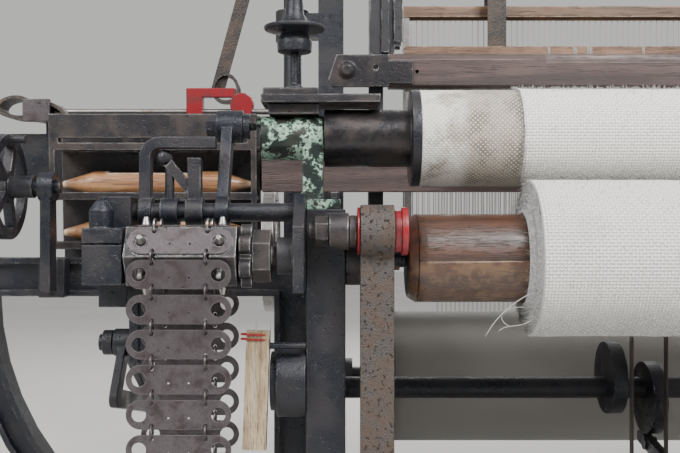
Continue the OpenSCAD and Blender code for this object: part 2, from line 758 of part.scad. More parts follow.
// Spur gear flat: a disc with straight-flanked teeth, the first one at angle a0
module gear_flat(teeth, a0) {
    pitch = gear_m * teeth / 2;
    root = pitch - 1.2 * gear_m;
    tip = pitch + 0.9 * gear_m;
    step = 360 / teeth;
    circle(r = root, $fn = 120);
    for (k = [0:teeth - 1])
        rotate(a0 + k * step)
            polygon([[root - 3, -gear_m * 0.86], [pitch, -gear_m * 0.70], [tip, -gear_m * 0.40],
                [tip, gear_m * 0.40], [pitch, gear_m * 0.70], [root - 3, gear_m * 0.86]]);
}
// Spoked wheel flat: rim, hub and arms
module spokes_flat(r_in, hub, arms, w)
    for (k = [0:arms - 1])
        rotate(k * 360 / arms) translate([hub - 2, -w / 2]) square([r_in - hub + 4, w]);

gear_x0 = sword_out + 6;
gear_x1 = inner_x - 6;
big_teeth = 2 * pinion_teeth;
mesh_angle = atan2(low_z - crank_z, low_y - crank_y);
tooth_phase = 180 / big_teeth;
pulley_x = outer_x + 88;
end_r = shaft_r - 2;

// Crankshaft: main lengths, two throws with webs and pins
module crank_throw(x) {
    w = 16;
    half = 14;
    for (s = [-1, 1])
        translate([x + s * (half + w / 2) - w / 2, 0, 0]) side_plate(0, w)
            member([crank_y, crank_z], [crank_y - crank_r, crank_z], 58);
    translate([0, crank_y - crank_r, crank_z]) bar_x(x - half, x + half, 17);
}
module crankshaft() {
    in = arm_x - 30;
    out = arm_x + 30;
    color(STEEL) {
        translate([0, crank_y, crank_z]) {
            bar_x(-in, in, shaft_r);
            bar_x(-side_x - 146, -out, shaft_r);
            bar_x(out, pulley_x + 150, shaft_r);
            bar_x(pulley_x + 149, pulley_x + 210, end_r);
        }
        crank_throw(arm_x);
        crank_throw(-arm_x);
    }
    color(IRON) {
        // pinion inside the right frame
        side_plate(gear_x0, gear_x1) translate([crank_y, crank_z]) difference() {
            gear_flat(pinion_teeth, mesh_angle);
            circle(r = shaft_r + fit);
        }
        // fast pulley: rim, web and hub
        translate([0, crank_y, crank_z]) {
            ring_x(pulley_x, pulley_x + 60, pulley_r, pulley_r - 9);
            ring_x(pulley_x + 24, pulley_x + 34, pulley_r - 8, shaft_r + fit);
            ring_x(pulley_x - 4, pulley_x + 60, 42, shaft_r + fit);
        }
        // balance wheel on the left end
        side_plate(-side_x - 140, -side_x - 116) translate([crank_y, crank_z]) {
            difference() {
                circle(r = 130, $fn = 120);
                circle(r = 108, $fn = 120);
            }
            difference() {
                union() {
                    circle(r = 40);
                    spokes_flat(108, 38, 5, 22);
                }
                circle(r = shaft_r + fit);
            }
        }
    }
}
module loose_pulley()
    color(WORN) translate([0, crank_y, crank_z]) {
        ring_x(pulley_x + 62, pulley_x + 122, pulley_r, pulley_r - 9);
        ring_x(pulley_x + 86, pulley_x + 96, pulley_r - 8, shaft_r + fit);
        ring_x(pulley_x + 62, pulley_x + 126, 42, shaft_r + fit);
    }

// Crank arm: wooden shaft between an iron strap on the crank pin and an eye by the sword
module crank_arm() {
    front = sley_point(0, arm_h);
    y1 = crank_y - crank_r;
    color(WOOD) difference() {
        side_plate(arm_x - 11, arm_x + 11) {
            member([front[1], front[2]], [y1, crank_z], 46);
            translate([y1, crank_z]) circle(32);
        }
        translate([0, y1, crank_z]) bar_x(arm_x - 20, arm_x + 20, 17 + fit);
        translate([0, front[1], front[2]]) bar_x(arm_x - 20, arm_x + 20, 12);
    }
    color(STEEL) translate([0, front[1], front[2]]) bar_x(arm_x - 13, arm_x + 14, 12);
}
module crank_arm_right() crank_arm();
module crank_arm_left() mirror([1, 0, 0]) crank_arm();

// Bottom shaft with its gear, two heart-shaped tappets and the picking cams
tappet_x = 40;
module tappet(turn)
    translate([low_y, low_z]) rotate(turn) difference() {
        polygon([for (k = [0:59]) (74 + 21 * cos(k * 6)) * dir2(k * 6)]);
        circle(r = shaft_r + fit);
    }
module picking_cam(turn)
    translate([low_y, low_z]) rotate(turn) difference() {
        union() {
            circle(r = 46);
            polygon([[-44, 12], [-20, 62], [-6, 68], [4, 62], [46, 0]]);
        }
        circle(r = shaft_r + fit);
    }
module bottom_shaft() {
    color(STEEL) translate([0, low_y, low_z]) bar_x(-outer_x - 26, outer_x + 26, shaft_r);
    color(IRON) {
        side_plate(gear_x0, gear_x1) translate([low_y, low_z]) difference() {
            union() {
                difference() {
                    gear_flat(big_teeth, mesh_angle + 180 + tooth_phase);
                    circle(r = gear_m * big_teeth / 2 - 24, $fn = 120);
                }
                circle(r = 48);
                spokes_flat(gear_m * big_teeth / 2 - 24, 46, 6, 30);
            }
            circle(r = shaft_r + fit);
        }
        side_plate(-tappet_x - 14, -tappet_x + 14) tappet(90);
        side_plate(tappet_x - 14, tappet_x + 14) tappet(-90);
        side_plate(outer_x + 4, outer_x + 24) picking_cam(30);
        side_plate(-outer_x - 24, -outer_x - 4) picking_cam(210);
    }
}

// Treadles: long levers pivoted at the front, under the tappets
treadle_pivot = [-400, 215];
treadle_tie = heald_y + heald_gap / 2;
module treadle(x, drop) {
    reach = low_y + 40;
    up = low_z - 96 - 14;
    p1 = [reach, up - drop];
    color(IRON) difference() {
        union() {
            side_plate(x - 9, x + 9) {
                member(treadle_pivot, p1, 26);
                translate(treadle_pivot) circle(24);
            }
            translate([0, p1[0] - 40, p1[1] + (treadle_pivot[1] - p1[1]) * 40 / (reach - treadle_pivot[0])])
                bar_x(x - 13, x + 13, 13);
        }
        translate([0, treadle_pivot[0], treadle_pivot[1]]) bar_x(x - 30, x + 30, 12 + fit);
    }
}
treadle_drop = heald_lift * (low_y + 40 - treadle_pivot[0]) / (treadle_tie - treadle_pivot[0]);
module treadle_front() treadle(-tappet_x, treadle_drop);
module treadle_rear() treadle(tappet_x, 0);

// Heald frames: two staves, steel ends and one row of wires with a gap for each warp strip
module heald_frame(y, top) {
    stave = 21;
    half = stave_len / 2;
    foot = top - heald_h;
    color(WOOD)
        for (z = [foot, top])
            block([-half, y - 10, z - stave / 2], [half, y + 10, z + stave / 2]);
    color(STEEL) {
        both() block([half - 12, y - 8, foot + stave / 2], [half, y + 8, top - stave / 2]);
        block([-half + 12, y - 2, top - stave / 2 - 5], [half - 12, y + 2, top - stave / 2]);
        block([-half + 12, y - 2, foot + stave / 2], [half - 12, y + 2, foot + stave / 2 + 5]);
        for (k = [0:reed_gaps]) {
            x = -reed_len / 2 + k * reed_pitch;
            if (abs(x) < half - 14)
                block([x - 0.8, y - 1, foot + stave / 2 + 5], [x + 0.8, y + 1, top - stave / 2 - 5]);
        }
    }
}
module heald_front() heald_frame(heald_y, heald_rest[0]);
module heald_rear() heald_frame(heald_y + heald_gap, heald_rest[1]);

// Top roller under the arch beam, and the leather straps down to the frames and treadles
roller_z = arch_top - 120;
strap_xs = [-1, 1] * (stave_len / 2 - 178);
module top_roller() {
    y = heald_y + heald_gap / 2;
    color(STEEL) translate([0, y, roller_z]) {
        bar_x(-guide_x0 - 40, guide_x0 + 40, 10);
        for (x = strap_xs)
            ring_x(x - 24, x + 24, heald_gap / 2, 10 + fit);
    }
    color(IRON) translate([0, y, roller_z])
        for (s = [-1, 1])
            difference() {
                translate([s * (inner_x - 165), 0, 0]) bar_x(-9, 9, 20);
                bar_x(-inner_x, inner_x, 10 + fit);
            }
}
module heald_straps() {
    stave = 10.5;
    color(LEATHER)
        for (x = strap_xs) {
            block([x - 18, heald_y - 2.4, heald_rest[0] + stave + slip], [x + 18, heald_y - slip, roller_z]);
            block([x - 18, heald_y + heald_gap + slip, heald_rest[1] + stave + slip],
                [x + 18, heald_y + heald_gap + 2.4, roller_z]);
        }
    color(LEATHER)
        for (k = [0, 1]) {
            x = k == 0 ? -tappet_x : tappet_x;
            y = heald_y + k * heald_gap;
            drop = k == 0 ? treadle_drop : 0;
            reach = low_y + 40;
            slope = (treadle_pivot[1] - (low_z - 110 - drop)) / (reach - treadle_pivot[0]);
            z = low_z - 110 - drop + slope * (reach - y) + 15;
            block([x - 1.5, y - 9, z], [x + 1.5, y + 9, heald_rest[k] - heald_h - stave - slip]);
        }
}

// Warp: one flat strip in each second gap, from the fell through a heald and over the back rest
fell = sley_point(-9, race_top + 36);
// Side view of the warp, offset outwards: fell, heald, round the back rest, down to the beam
function warp_path(y, eye, off) = concat([[fell[1], fell[2] + off], [y, eye + off]],
    [for (a = [90:-15:0]) [rest_y, rest_z] + (rest_r + slip + off) * dir2(a)],
    [[beam_y + warp_r + slip + off, beam_z + 20]]);
function back_to_front(p) = [for (k = [len(p) - 1:-1:0]) p[k]];
module warp_strips(first, y, top) {
    eye = top - heald_h / 2;
    strip = reed_pitch * 0.4;
    for (k = [first:2:reed_gaps - 1]) {
        x = -reed_len / 2 + (k + 0.5) * reed_pitch;
        if (abs(x) < cloth_w / 2 - strip)
            side_plate(x - strip / 2, x + strip / 2)
                polygon(concat(warp_path(y, eye, 0), back_to_front(warp_path(y, eye, 1.4))));
    }
}
module warp_front() color(PALE) warp_strips(0, heald_y, heald_rest[0]);
module warp_rear() color(PALE) warp_strips(1, heald_y + heald_gap, heald_rest[1]);

// Woven cloth: from the fell over the take-up roller and round its front to the nip
nip = atan2(cloth_z - roll_z, cloth_y - roll_y);
module cloth() {
    r0 = cloth_top_r;
    r1 = cloth_top_r + cloth_t;
    centre = [roll_y, roll_z];
    run = [fell[1], fell[2]] - centre;
    a0 = atan2(run[1], run[0]) + acos(r0 / norm(run));
    a1 = 360 + nip - 6;
    steps = 26;
    color(PALE) side_plate(-cloth_w / 2, cloth_w / 2)
        polygon(concat([[fell[1] - 1, fell[2] + cloth_t]],
            [for (k = [0:steps]) centre + r1 * dir2(a0 + (a1 - a0) * k / steps)],
            [for (k = [steps:-1:0]) centre + r0 * dir2(a0 + (a1 - a0) * k / steps)],
            [[fell[1] - 1, fell[2]]]));
}

// Take-up roller: covered body, end flanges, thick shaft and journals, with its gear on the right
module takeup_roller() {
    shaft_end = side_x + 4 - 1;
    translate([0, roll_y, roll_z]) {
        color(PALE) bar_x(-cover_half, cover_half, roll_r);
        color(IRON) both() {
            bar_x(cover_half, cover_half + 12, roll_r + 0.3);
            bar_x(cover_half + 12, shaft_end, roll_shaft_r);
            bar_x(shaft_end, side_x + 90, journal_r);
        }
        color(IRON) bar_x(side_x + 90, side_x + 124, 16);
    }
    color(IRON) side_plate(side_x + 98, side_x + 118) translate([roll_y, roll_z]) difference() {
        gear_flat(36, 0);
        circle(r = 16 + fit);
    }
}

// Cloth roller: wood with iron end caps and gudgeons, and the cloth wound on it
module cloth_roller() {
    cap = 12;
    translate([0, cloth_y, cloth_z]) {
        color(WOOD) bar_x(-wood_half + cap, wood_half - cap, wood_r);
        color(IRON) both() {
            translate([wood_half - cap, 0, 0]) rotate([0, 90, 0]) cylinder(r1 = wood_r, r2 = wood_r - 7, h = cap);
            bar_x(wood_half, inner_x - slip, 12);
        }
        color(PALE) difference() {
            union() {
                bar_x(-cloth_w / 2 + 6, cloth_w / 2 - 6, cloth_r);
                bar_x(-cloth_w / 2 - 4, cloth_w / 2 + 4, cloth_r - 24);
            }
            bar_x(-cloth_w, cloth_w, wood_r + fit);
        }
    }
}

// Warp beam with flanges, the warp wound on it, gudgeons and a brake drum
module warp_beam() {
    half = cover_half;
    drum = 90;
    translate([0, beam_y, beam_z]) {
        color(WOOD) bar_x(-half, half, 70);
        color(IRON) {
            both() {
                ring_x(half - 12, half, beam_flange_r, 70 + fit);
                bar_x(half, half + 54, 40);
                bar_x(half + 54, inner_x - 2, journal_r);
            }
            ring_x(half + 2, half + 52, drum, 40 + fit);
        }
        color(PALE) ring_x(-half + 14, half - 14, warp_r, 70 + fit);
    }
}
// Brake rope round the drum, and its weighted lever at the back
rope_x = cover_half + 27;
lever_y = 330;
lever_z = 190;
module brake_rope() {
    r = 6;
    drum = 90;
    anchor_z = 250;
    color(PALE) translate([rope_x, 0, 0]) {
        translate([0, beam_y, beam_z]) rotate([90, 0, 90])
            rotate_extrude(angle = 180) translate([drum + r + slip, 0]) circle(r);
        translate([0, beam_y - drum - r - slip, lever_z + 14]) cylinder(r = r, h = beam_z - lever_z - 14);
        translate([0, beam_y + drum + r + slip, anchor_z]) cylinder(r = r, h = beam_z - anchor_z);
    }
    color(IRON) {
        block([rope_x - 10, beam_y + drum - 6, anchor_z - 16], [inner_x, beam_y + drum + 20, anchor_z]);
    }
}
lever_end = card_pitch - card_y + 2 * slip + card_t / 2 + ring_r + wire_r;
module brake_lever() {
    color(IRON) difference() {
        union() {
            side_plate(rope_x - 8, rope_x + 8) {
                member([lever_y - 60, lever_z], [lever_end - 12, lever_z], 24);
            }
            translate([0, lever_y - 60, lever_z]) bar_x(rope_x - 8, rope_x + 40, 18);
        }
        translate([0, lever_y - 60, lever_z]) bar_x(rope_x - 20, rope_x + 60, 10 + fit);
    }
    color(WORN) difference() {
        translate([rope_x - 40, 579, lever_z - 60]) cube([80, 60, 110]);
        translate([rope_x - 8 - slip, 500, lever_z - 12 - slip]) cube([16 + 2 * slip, 150, 24 + 2 * slip]);
    }
}

// Card motion: six-sided cylinder, steel cards linked by wire rings, and its brackets
card_in = card_x + 67;
card_out = card_x - 67;
peg_dx = 47;
ring_dx = 32;
ring_hole = 13;
axle_r = 12;
module card_ring(x) translate([x, 0, 0]) rotate([0, 90, 0])
    rotate_extrude($fn = 24) translate([ring_r, 0]) circle(wire_r, $fn = 14);

// One card, drawn lying in X and Z with its middle at the origin, thick towards -Y
module card() {
    half = card_len / 2 - card_h / 2;
    front_plate(-card_t, 0) difference() {
        member([-half, 0], [half, 0], card_h);
        for (s = [-1, 1]) {
            translate([s * peg_dx, 0]) circle(8.5);
            for (v = [-1, 1])
                translate([s * ring_dx, v * ring_hole]) circle(2.3);
            translate([s * 12, -4]) circle(1.2);
        }
    }
}
// Frame of one face of the cylinder: X along it, -Y out of it, Z up it; face 0 is the upper front
module on_face(k) translate([card_x, card_y, card_z]) rotate([-30 - 60 * k, 0, 0]) translate([0, -hex_a, 0]) children();

module card_cylinder() {
    groove_w = 7;
    color(IRON) {
        difference() {
            side_plate(card_out, card_in) translate([card_y, card_z]) circle(r = card_pitch, $fn = 6);
            for (k = [0:5], s = [-1, 1])
                translate([card_x + s * ring_dx - groove_w / 2, card_y, card_z])
                    rotate([60 * k, 0, 0]) translate([0, -card_pitch, 0]) bar_x(0, groove_w, 11);
        }
        for (k = [0:5], s = [-1, 1])
            on_face(k) translate([s * peg_dx, 0, 0]) rotate([90, 0, 0]) cylinder(r1 = 6.5, r2 = 3, h = 12);
        translate([0, card_y, card_z]) {
            bar_x(card_out - 48, card_out, axle_r);
            bar_x(card_in, -outer_x - 2, axle_r);
        }
    }
    // star wheel and hub keyed on the axle
    color(STEEL) side_plate(card_in + 3, card_in + 17) translate([card_y, card_z]) difference() {
        union() {
            circle(26);
            for (k = [0:5])
                rotate(60 * k + 30) translate([28, 0]) circle(11);
        }
        circle(axle_r + fit);
    }
    color(IRON) translate([0, card_y, card_z]) difference() {
        hex_x(card_in + 18, card_in + 40, 56);
        bar_x(card_in, card_in + 60, axle_r + fit);
    }
    // cards that lie on the cylinder, with the rings between them
    color(STEEL)
        for (k = [0:2])
            on_face(k) translate([0, -slip, 0]) card();
    color(STEEL)
        for (k = [1:2], s = [-1, 1])
            translate([card_x, card_y, card_z]) rotate([-60 * k, 0, 0])
                translate([0, -card_pitch - 1, 0]) card_ring(s * ring_dx);
}

// A hanging strand of cards below a corner of the cylinder, facing the weaver or the back
module strand(count, face) {
    color(STEEL) translate([card_x, card_y + face * (card_pitch + 2 * slip), card_z]) {
        for (k = [0:count - 1]) {
            translate([0, face > 0 ? card_t : 0, -(k + 0.5) * card_pitch]) card();
            for (s = [-1, 1])
                translate([0, face * card_t / 2, -k * card_pitch]) card_ring(s * ring_dx);
        }
        // last card, turning under towards the other strand
        translate([0, face * card_t / 2, -count * card_pitch]) {
            for (s = [-1, 1])
                card_ring(s * ring_dx);
            rotate([-face * 65, 0, 0]) translate([0, card_t / 2, -card_pitch / 2]) card();
        }
    }
}
module card_chain_front() strand(hanging_cards, -1);
module card_chain_rear() strand(hanging_cards, 1);

// Bearings of the cylinder and the lever gear: arm from the outrigger, block with its cap, frame plate
lever_y0 = -545;
lever_z0 = 768;
block_x1 = card_out - 2;
block_x0 = block_x1 - 48;
module card_bracket() {
    rail_mid_z = rig_top - rig_rail_h / 2;
    box_bracket();
    color(IRON) difference() {
        union() {
            block([block_x0, card_y - 36, card_z - 34], [block_x1, card_y + 40, card_z + 34]);
            block([block_x0 + 6, card_y + 20, rail_mid_z - 22], [block_x1 - 6, rig_y0, rail_mid_z + 22]);
            block([block_x0 - 14, rig_y0 - 12, rig_top - rig_rail_h], [block_x1 + 14, rig_y0, rig_top]);
            // cap over the axle with the lever shaft's seat behind it
            block([block_x0 + 4, lever_y0 - 24, card_z + 34], [block_x1 - 4, lever_y0 + 24, lever_z0 + 20]);
            translate([block_x0 + 14, card_y + 4, card_z + 34]) cylinder(r = 15, h = 22);
            translate([block_x0 + 14, card_y + 4, card_z + 56]) cylinder(r1 = 15, r2 = 7, h = 12);
        }
        translate([0, card_y, card_z]) bar_x(block_x0 - 5, block_x1 + 5, axle_r + fit);
        translate([0, lever_y0, lever_z0]) bar_x(block_x0 - 5, block_x1 + 5, axle_r + fit);
        // split line of the block's cap
        block([block_x0 - 1, card_y - 40, card_z + 14], [block_x0 + 3, card_y + 30, card_z + 16]);
        block([block_x0, card_y - 37, card_z + 14], [block_x1, card_y - 33, card_z + 16]);
    }
    color(IRON) difference() {
        union() {
            side_plate(-outer_x - 14, -outer_x)
                polygon([[card_y - 34, card_z - 44], [front_y + 14, card_z - 44], [front_y + 14, lever_z0 + 24],
                    [lever_y0 - 30, lever_z0 + 24], [card_y - 34, card_z + 36]]);
            translate([0, card_y, card_z]) bar_x(-outer_x - 34, -outer_x - 14, 23);
        }
        translate([0, card_y, card_z]) bar_x(-outer_x - 40, -outer_x + 5, axle_r + fit);
        translate([0, lever_y0, lever_z0]) bar_x(-outer_x - 40, -outer_x + 5, axle_r + fit);
    }
    // round drum on the front post's outer side
    color(IRON) translate([0, front_y, 550]) {
        bar_x(-outer_x - 38, -outer_x, 46);
        bar_x(-outer_x - 46, -outer_x - 38, 38);
    }
    // upright that carries the handwheel, on the outrigger's front
    color(IRON) difference() {
        union() {
            block([wheel_x - 8, wheel_y - 16, rig_top - 50], [wheel_x + 8, wheel_y + 16, wheel_z]);
            translate([0, wheel_y, wheel_z]) bar_x(wheel_x - 12, wheel_x + 12, 22);
            block([wheel_x - 20, wheel_y + 16, rig_top - rig_rail_h], [wheel_x + 20, rig_y0, rig_top]);
        }
        translate([0, wheel_y, wheel_z]) bar_x(wheel_x - 50, wheel_x + 50, 10 + fit);
    }
}

// Shaft of the reading levers, and the fixed hoop and bracket that stand on it
module lever_shaft() {
    hoop_x0 = card_x - 66;
    post_x = card_x + 32;
    t = 15;
    pin_z = roll_z + 16;
    color(IRON) translate([0, lever_y0, lever_z0]) bar_x(block_x0 + 2, -outer_x - 1, axle_r);
    color(IRON) difference() {
        union() {
            front_plate(lever_y0 - 10, lever_y0 + 10) {
                translate([hoop_x0, lever_z0]) square([t, 70]);
                translate([hoop_x0 + t + 12, lever_z0 + 70]) ring_sector(12, 12 + t, 90, 180);
                translate([hoop_x0 + t + 12, lever_z0 + 82]) square([post_x - hoop_x0 - t - 12, t]);
            }
            for (x = [hoop_x0, post_x])
                translate([0, lever_y0, lever_z0]) bar_x(x, x + t + 2, 20);
            side_plate(post_x, post_x + t)
                polygon([[lever_y0 - 14, lever_z0], [lever_y0 + 14, lever_z0], [roll_y + 16, pin_z + 8],
                    [roll_y, pin_z + 18], [roll_y - 16, pin_z + 8]]);
            translate([0, roll_y, pin_z]) {
                bar_x(post_x - 8, post_x + 28, 22);
                bar_x(post_x + 28, post_x + 37, 17);
            }
            translate([0, roll_y, pin_z]) hex_x(post_x - 22, post_x - 8, 26);
        }
        translate([0, lever_y0, lever_z0]) bar_x(hoop_x0 - 30, post_x + 60, axle_r + fit);
    }
    color(STEEL) translate([0, roll_y, pin_z]) bar_x(post_x + 37, -side_x - 96, 5);
}
// Reading levers: hubs on the shaft, a ball-ended lever, a round rod and a square nut
module reading_levers() {
    hub = [card_x - 38, card_x - 6];
    color(IRON) difference() {
        union() {
            for (x = hub)
                translate([0, lever_y0, lever_z0]) bar_x(x, x + 22, 19);
            translate([0, lever_y0, lever_z0 + 15]) bar_x(hub[0], hub[1] + 22, 4);
            translate([hub[0] + 10, lever_y0, lever_z0 + 14]) cylinder(r = 6, h = 44);
            front_plate(lever_y0 - 6, lever_y0 + 6)
                member([hub[1] + 10, lever_z0 + 22], [hub[0] + 3, lever_z0 + 70], 12);
            translate([hub[0] + 3, lever_y0, lever_z0 + 70]) sphere(r = 11);
            translate([hub[1] + 2, lever_y0 - 9, lever_z0 + 16]) cube([17, 18, 54]);
        }
        translate([0, lever_y0, lever_z0]) bar_x(hub[0] - 30, hub[1] + 60, axle_r + fit);
    }
}

// Handwheel of the box motion, edge-on to the weaver, on a stud
wheel_x = -rig_out + 146;
wheel_y = -330;
wheel_z = 810;
module handwheel() {
    x0 = wheel_x - 70;
    color(IRON) {
        difference() {
            side_plate(x0, x0 + 14) translate([wheel_y, wheel_z]) {
                difference() {
                    circle(80);
                    circle(64);
                }
                circle(24);
                spokes_flat(64, 22, 5, 14);
            }
            translate([0, wheel_y, wheel_z]) bar_x(x0 - 5, x0 + 30, 10 + fit);
        }
        translate([0, wheel_y, wheel_z]) bar_x(x0 - 6, wheel_x + 20, 10);
        translate([0, wheel_y, wheel_z]) ring_x(x0 + 14, x0 + 50, 17, 10 + fit);
        translate([0, wheel_y, wheel_z + 72]) bar_x(x0 + 14, x0 + 36, 6);
    }
}

// Box lever: a bell crank under the drop box, with a flat bar up to the lever shaft's height
box_pivot = [-390, 582];
box_lever_x = rail_mid - 12;
module box_lever() {
    tip = [-165, 448];
    color(IRON) difference() {
        union() {
            side_plate(box_lever_x, box_lever_x + 12) {
                member(box_pivot, [box_pivot[0] - 60, box_pivot[1] - 70], 26);
                member([box_pivot[0] - 60, box_pivot[1] - 70], tip, 26);
                member(box_pivot, tip, 22);
            }
            translate([0, box_pivot[0], box_pivot[1]]) bar_x(box_lever_x - 8, box_lever_x + 20, 20);
        }
        translate([0, box_pivot[0], box_pivot[1]]) bar_x(box_lever_x - 30, box_lever_x + 40, 12 + fit);
    }
}
// Its bracket hangs from the outrigger's rail; the pivot bolt carries two nuts
module box_bracket() {
    x = box_lever_x + 24;
    color(IRON) {
        block([x, box_pivot[0] - 56, box_pivot[1] - 22], [x + 14, rig_y0, box_pivot[1] + 70]);
        block([x - 10, rig_y0 - 12, rig_top - rig_rail_h], [x + 24, rig_y0, rig_top]);
        translate([0, box_pivot[0], box_pivot[1]]) {
            bar_x(box_lever_x - 30, x, 12);
            ring_x(box_lever_x - 24, box_lever_x - 9, 18, 12 + fit);
            hex_x(x + 14, x + 30, 34);
        }
        // long flat bar in front of the bracket, with a boss at its foot
        side_plate(x + 14, x + 26) member([box_pivot[0] - 42, box_pivot[1] - 30], [box_pivot[0] - 42, 776], 24);
    }
}

// Turned bobbin stand on the left bearing plates
module bobbin_stand()
    color(IRON) translate([-side_x - 44, roll_y, roll_z + 65 + slip]) rotate_extrude()
        polygon([[0, 0], [12, 0], [12, 5], [6, 8], [6, 48], [23, 52], [24, 66], [18, 78], [41, 82], [42, 87],
            [20, 92], [13, 104], [11, 132], [15, 150], [10, 168], [0, 172]]);

// Split wooden strip hung by a pin from the frame plate's underside
module wooden_strip() {
    x0 = card_in + 1.5;
    color(WOOD) translate([x0, card_y + 24, 470]) rotate([0, 2, 0]) difference() {
        cube([30, 7, 150]);
        translate([11, -1, 40]) cube([1.2, 9, 120]);
    }
    color(RED) translate([0, card_y + 28, 600]) difference() {
        bar_x(x0 + 10, -outer_x, 4);
        bar_x(x0 + 8, x0 + 10, 4);
    }
}

// Starting handle on the right front post, with its pivot plate
handle_x = outer_x + 20;
handle_z = 560;
module starting_handle()
    color(STEEL) difference() {
        union() {
            side_plate(handle_x - 5, handle_x + 5) member([front_y - 10, handle_z], [front_y - 40, handle_z + 190], 22);
            translate([0, front_y - 10, handle_z]) bar_x(handle_x - 9, handle_x + 9, 20);
            translate([0, front_y - 40, handle_z + 190]) bar_x(handle_x - 5, handle_x + 70, 12);
        }
        translate([0, front_y - 10, handle_z]) bar_x(handle_x - 20, handle_x + 20, 10 + fit);
    }

// Bolts and studs of the frame: pivots, foot bolts and rail bolts
module frame_bolts() {
    hanger_bolts();
    color(STEEL) {
        both() {
            for (y = [front_y - 30, rear_y + 30])
                translate([side_x + 37, y, 22]) cylinder(r = 10, h = 12, $fn = 6);
            for (z = [300 - 22, 300 + 22])
                translate([0, front_y - 18, z]) hex_x(inner_x - 24, inner_x - 12, 20);
            for (y = [roll_y - 36, roll_y + 36])
                translate([inner_x + 15, y, post_h + 14]) cylinder(r = 8, h = 10, $fn = 6);
            for (z = [150, 190])
                translate([0, rig_y1 + 28, z]) hex_x(outer_x + 14, outer_x + 26, 20);
        }
        // pivots
        translate([0, treadle_pivot[0], treadle_pivot[1]]) bar_x(-tappet_x - 40, tappet_x + 40, 12);
        translate([0, front_y - 10, handle_z]) bar_x(outer_x, handle_x + 16, 10);
        translate([0, lever_y - 60, lever_z]) bar_x(rope_x - 14, side_x - web_t / 2, 10);
    }
    color(IRON) difference() {
        both() block([tappet_x + 22, front_y + 6, treadle_pivot[1] - 20], [tappet_x + 36, treadle_pivot[0] + 20, treadle_pivot[1] + 39]);
        translate([0, treadle_pivot[0], treadle_pivot[1]]) bar_x(-tappet_x - 60, tappet_x + 60, 12 + fit);
    }
}

side_frame_left();
side_frame_right();
cross_rails();
top_arch();
outrigger_left();
outrigger_right();
takeup_bearings();
bearing_plates();
roller_blocks();
hanger_bars();
red_spools();
shaft_brackets();
heald_guides();
back_rest();
brake_rope();
brake_lever();
bobbin_stand();
card_bracket();
lever_shaft();
wooden_strip();
frame_bolts();
cloth();
warp_front();
warp_rear();
heald_straps();
swords();
sley_beam();
reed();
reed_cap();
cap_plates();
box_guides();
picker_spindles();
drop_box();
shuttles();
picker_left();
picker_right();
strap_left();
strap_right();
picking_stick_left();
picking_stick_right();
crankshaft();
loose_pulley();
crank_arm_left();
crank_arm_right();
bottom_shaft();
treadle_front();
treadle_rear();
heald_front();
heald_rear();
top_roller();
takeup_roller();
cloth_roller();
warp_beam();
card_cylinder();
card_chain_front();
card_chain_rear();
reading_levers();
handwheel();
box_lever();
starting_handle();
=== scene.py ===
# %% [markdown]
# # An old power loom, dressed in Blender
# The loom's solids come from the imported frame, in metres, and stay where they are. This lesson gives
# them rounded casting edges, worn paint, wood grain and woven canvas, and adds what a solid model is
# poor at: frayed cloth, twine, leather and threads. Everything but the warp threads rides on a named
# body, so that the loom still weaves at every pose.

# %% Load the frame
import json
import random
from functools import partial
from math import atan2, cos, dist, hypot, pi, radians, sin

import bmesh
import bpy
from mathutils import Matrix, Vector, noise

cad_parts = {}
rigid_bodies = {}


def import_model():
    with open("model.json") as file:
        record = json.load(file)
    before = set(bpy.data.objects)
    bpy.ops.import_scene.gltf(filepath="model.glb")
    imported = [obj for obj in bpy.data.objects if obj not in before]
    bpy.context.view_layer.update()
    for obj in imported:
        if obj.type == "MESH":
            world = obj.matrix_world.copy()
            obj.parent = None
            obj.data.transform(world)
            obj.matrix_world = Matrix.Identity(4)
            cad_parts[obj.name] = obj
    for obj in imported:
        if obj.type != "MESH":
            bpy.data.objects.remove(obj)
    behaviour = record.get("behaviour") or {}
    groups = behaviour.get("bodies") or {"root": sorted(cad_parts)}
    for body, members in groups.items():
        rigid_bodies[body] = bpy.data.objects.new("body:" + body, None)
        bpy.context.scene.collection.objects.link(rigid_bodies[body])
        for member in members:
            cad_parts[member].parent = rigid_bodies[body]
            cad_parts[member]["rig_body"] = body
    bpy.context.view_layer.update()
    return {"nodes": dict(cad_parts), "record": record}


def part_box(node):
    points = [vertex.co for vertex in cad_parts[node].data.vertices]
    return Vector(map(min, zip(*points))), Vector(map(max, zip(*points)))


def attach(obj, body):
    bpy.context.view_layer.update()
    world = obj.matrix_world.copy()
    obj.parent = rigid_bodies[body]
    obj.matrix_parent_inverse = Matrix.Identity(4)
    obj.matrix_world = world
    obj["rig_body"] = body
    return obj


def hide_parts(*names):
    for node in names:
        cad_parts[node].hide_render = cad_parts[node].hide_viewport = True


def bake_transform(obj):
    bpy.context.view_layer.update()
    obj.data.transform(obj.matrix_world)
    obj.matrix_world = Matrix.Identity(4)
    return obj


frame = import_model()

# %% [markdown]
# ## Camera
# The picture was taken close up, square to the loom, from the weaver's side. A level camera with a
# normal lens gives its upright posts and flat rails without any shift.

# %% Camera
EYE = (-0.602, -1.760, 0.750)
LENS_MM = 50.0
SENSOR_MM = 36.0


def show(thing):
    """Puts an object into the scene."""
    bpy.context.scene.collection.objects.link(thing)
    return thing


camera_data = bpy.data.cameras.new("camera")
camera_data.lens = LENS_MM
camera_data.sensor_width = SENSOR_MM
camera_data.clip_start = 0.02
camera = show(bpy.data.objects.new("camera", camera_data))
camera.location = EYE
camera.rotation_euler = (pi / 2, 0, 0)
bpy.context.scene.camera = camera
print("camera at", EYE)

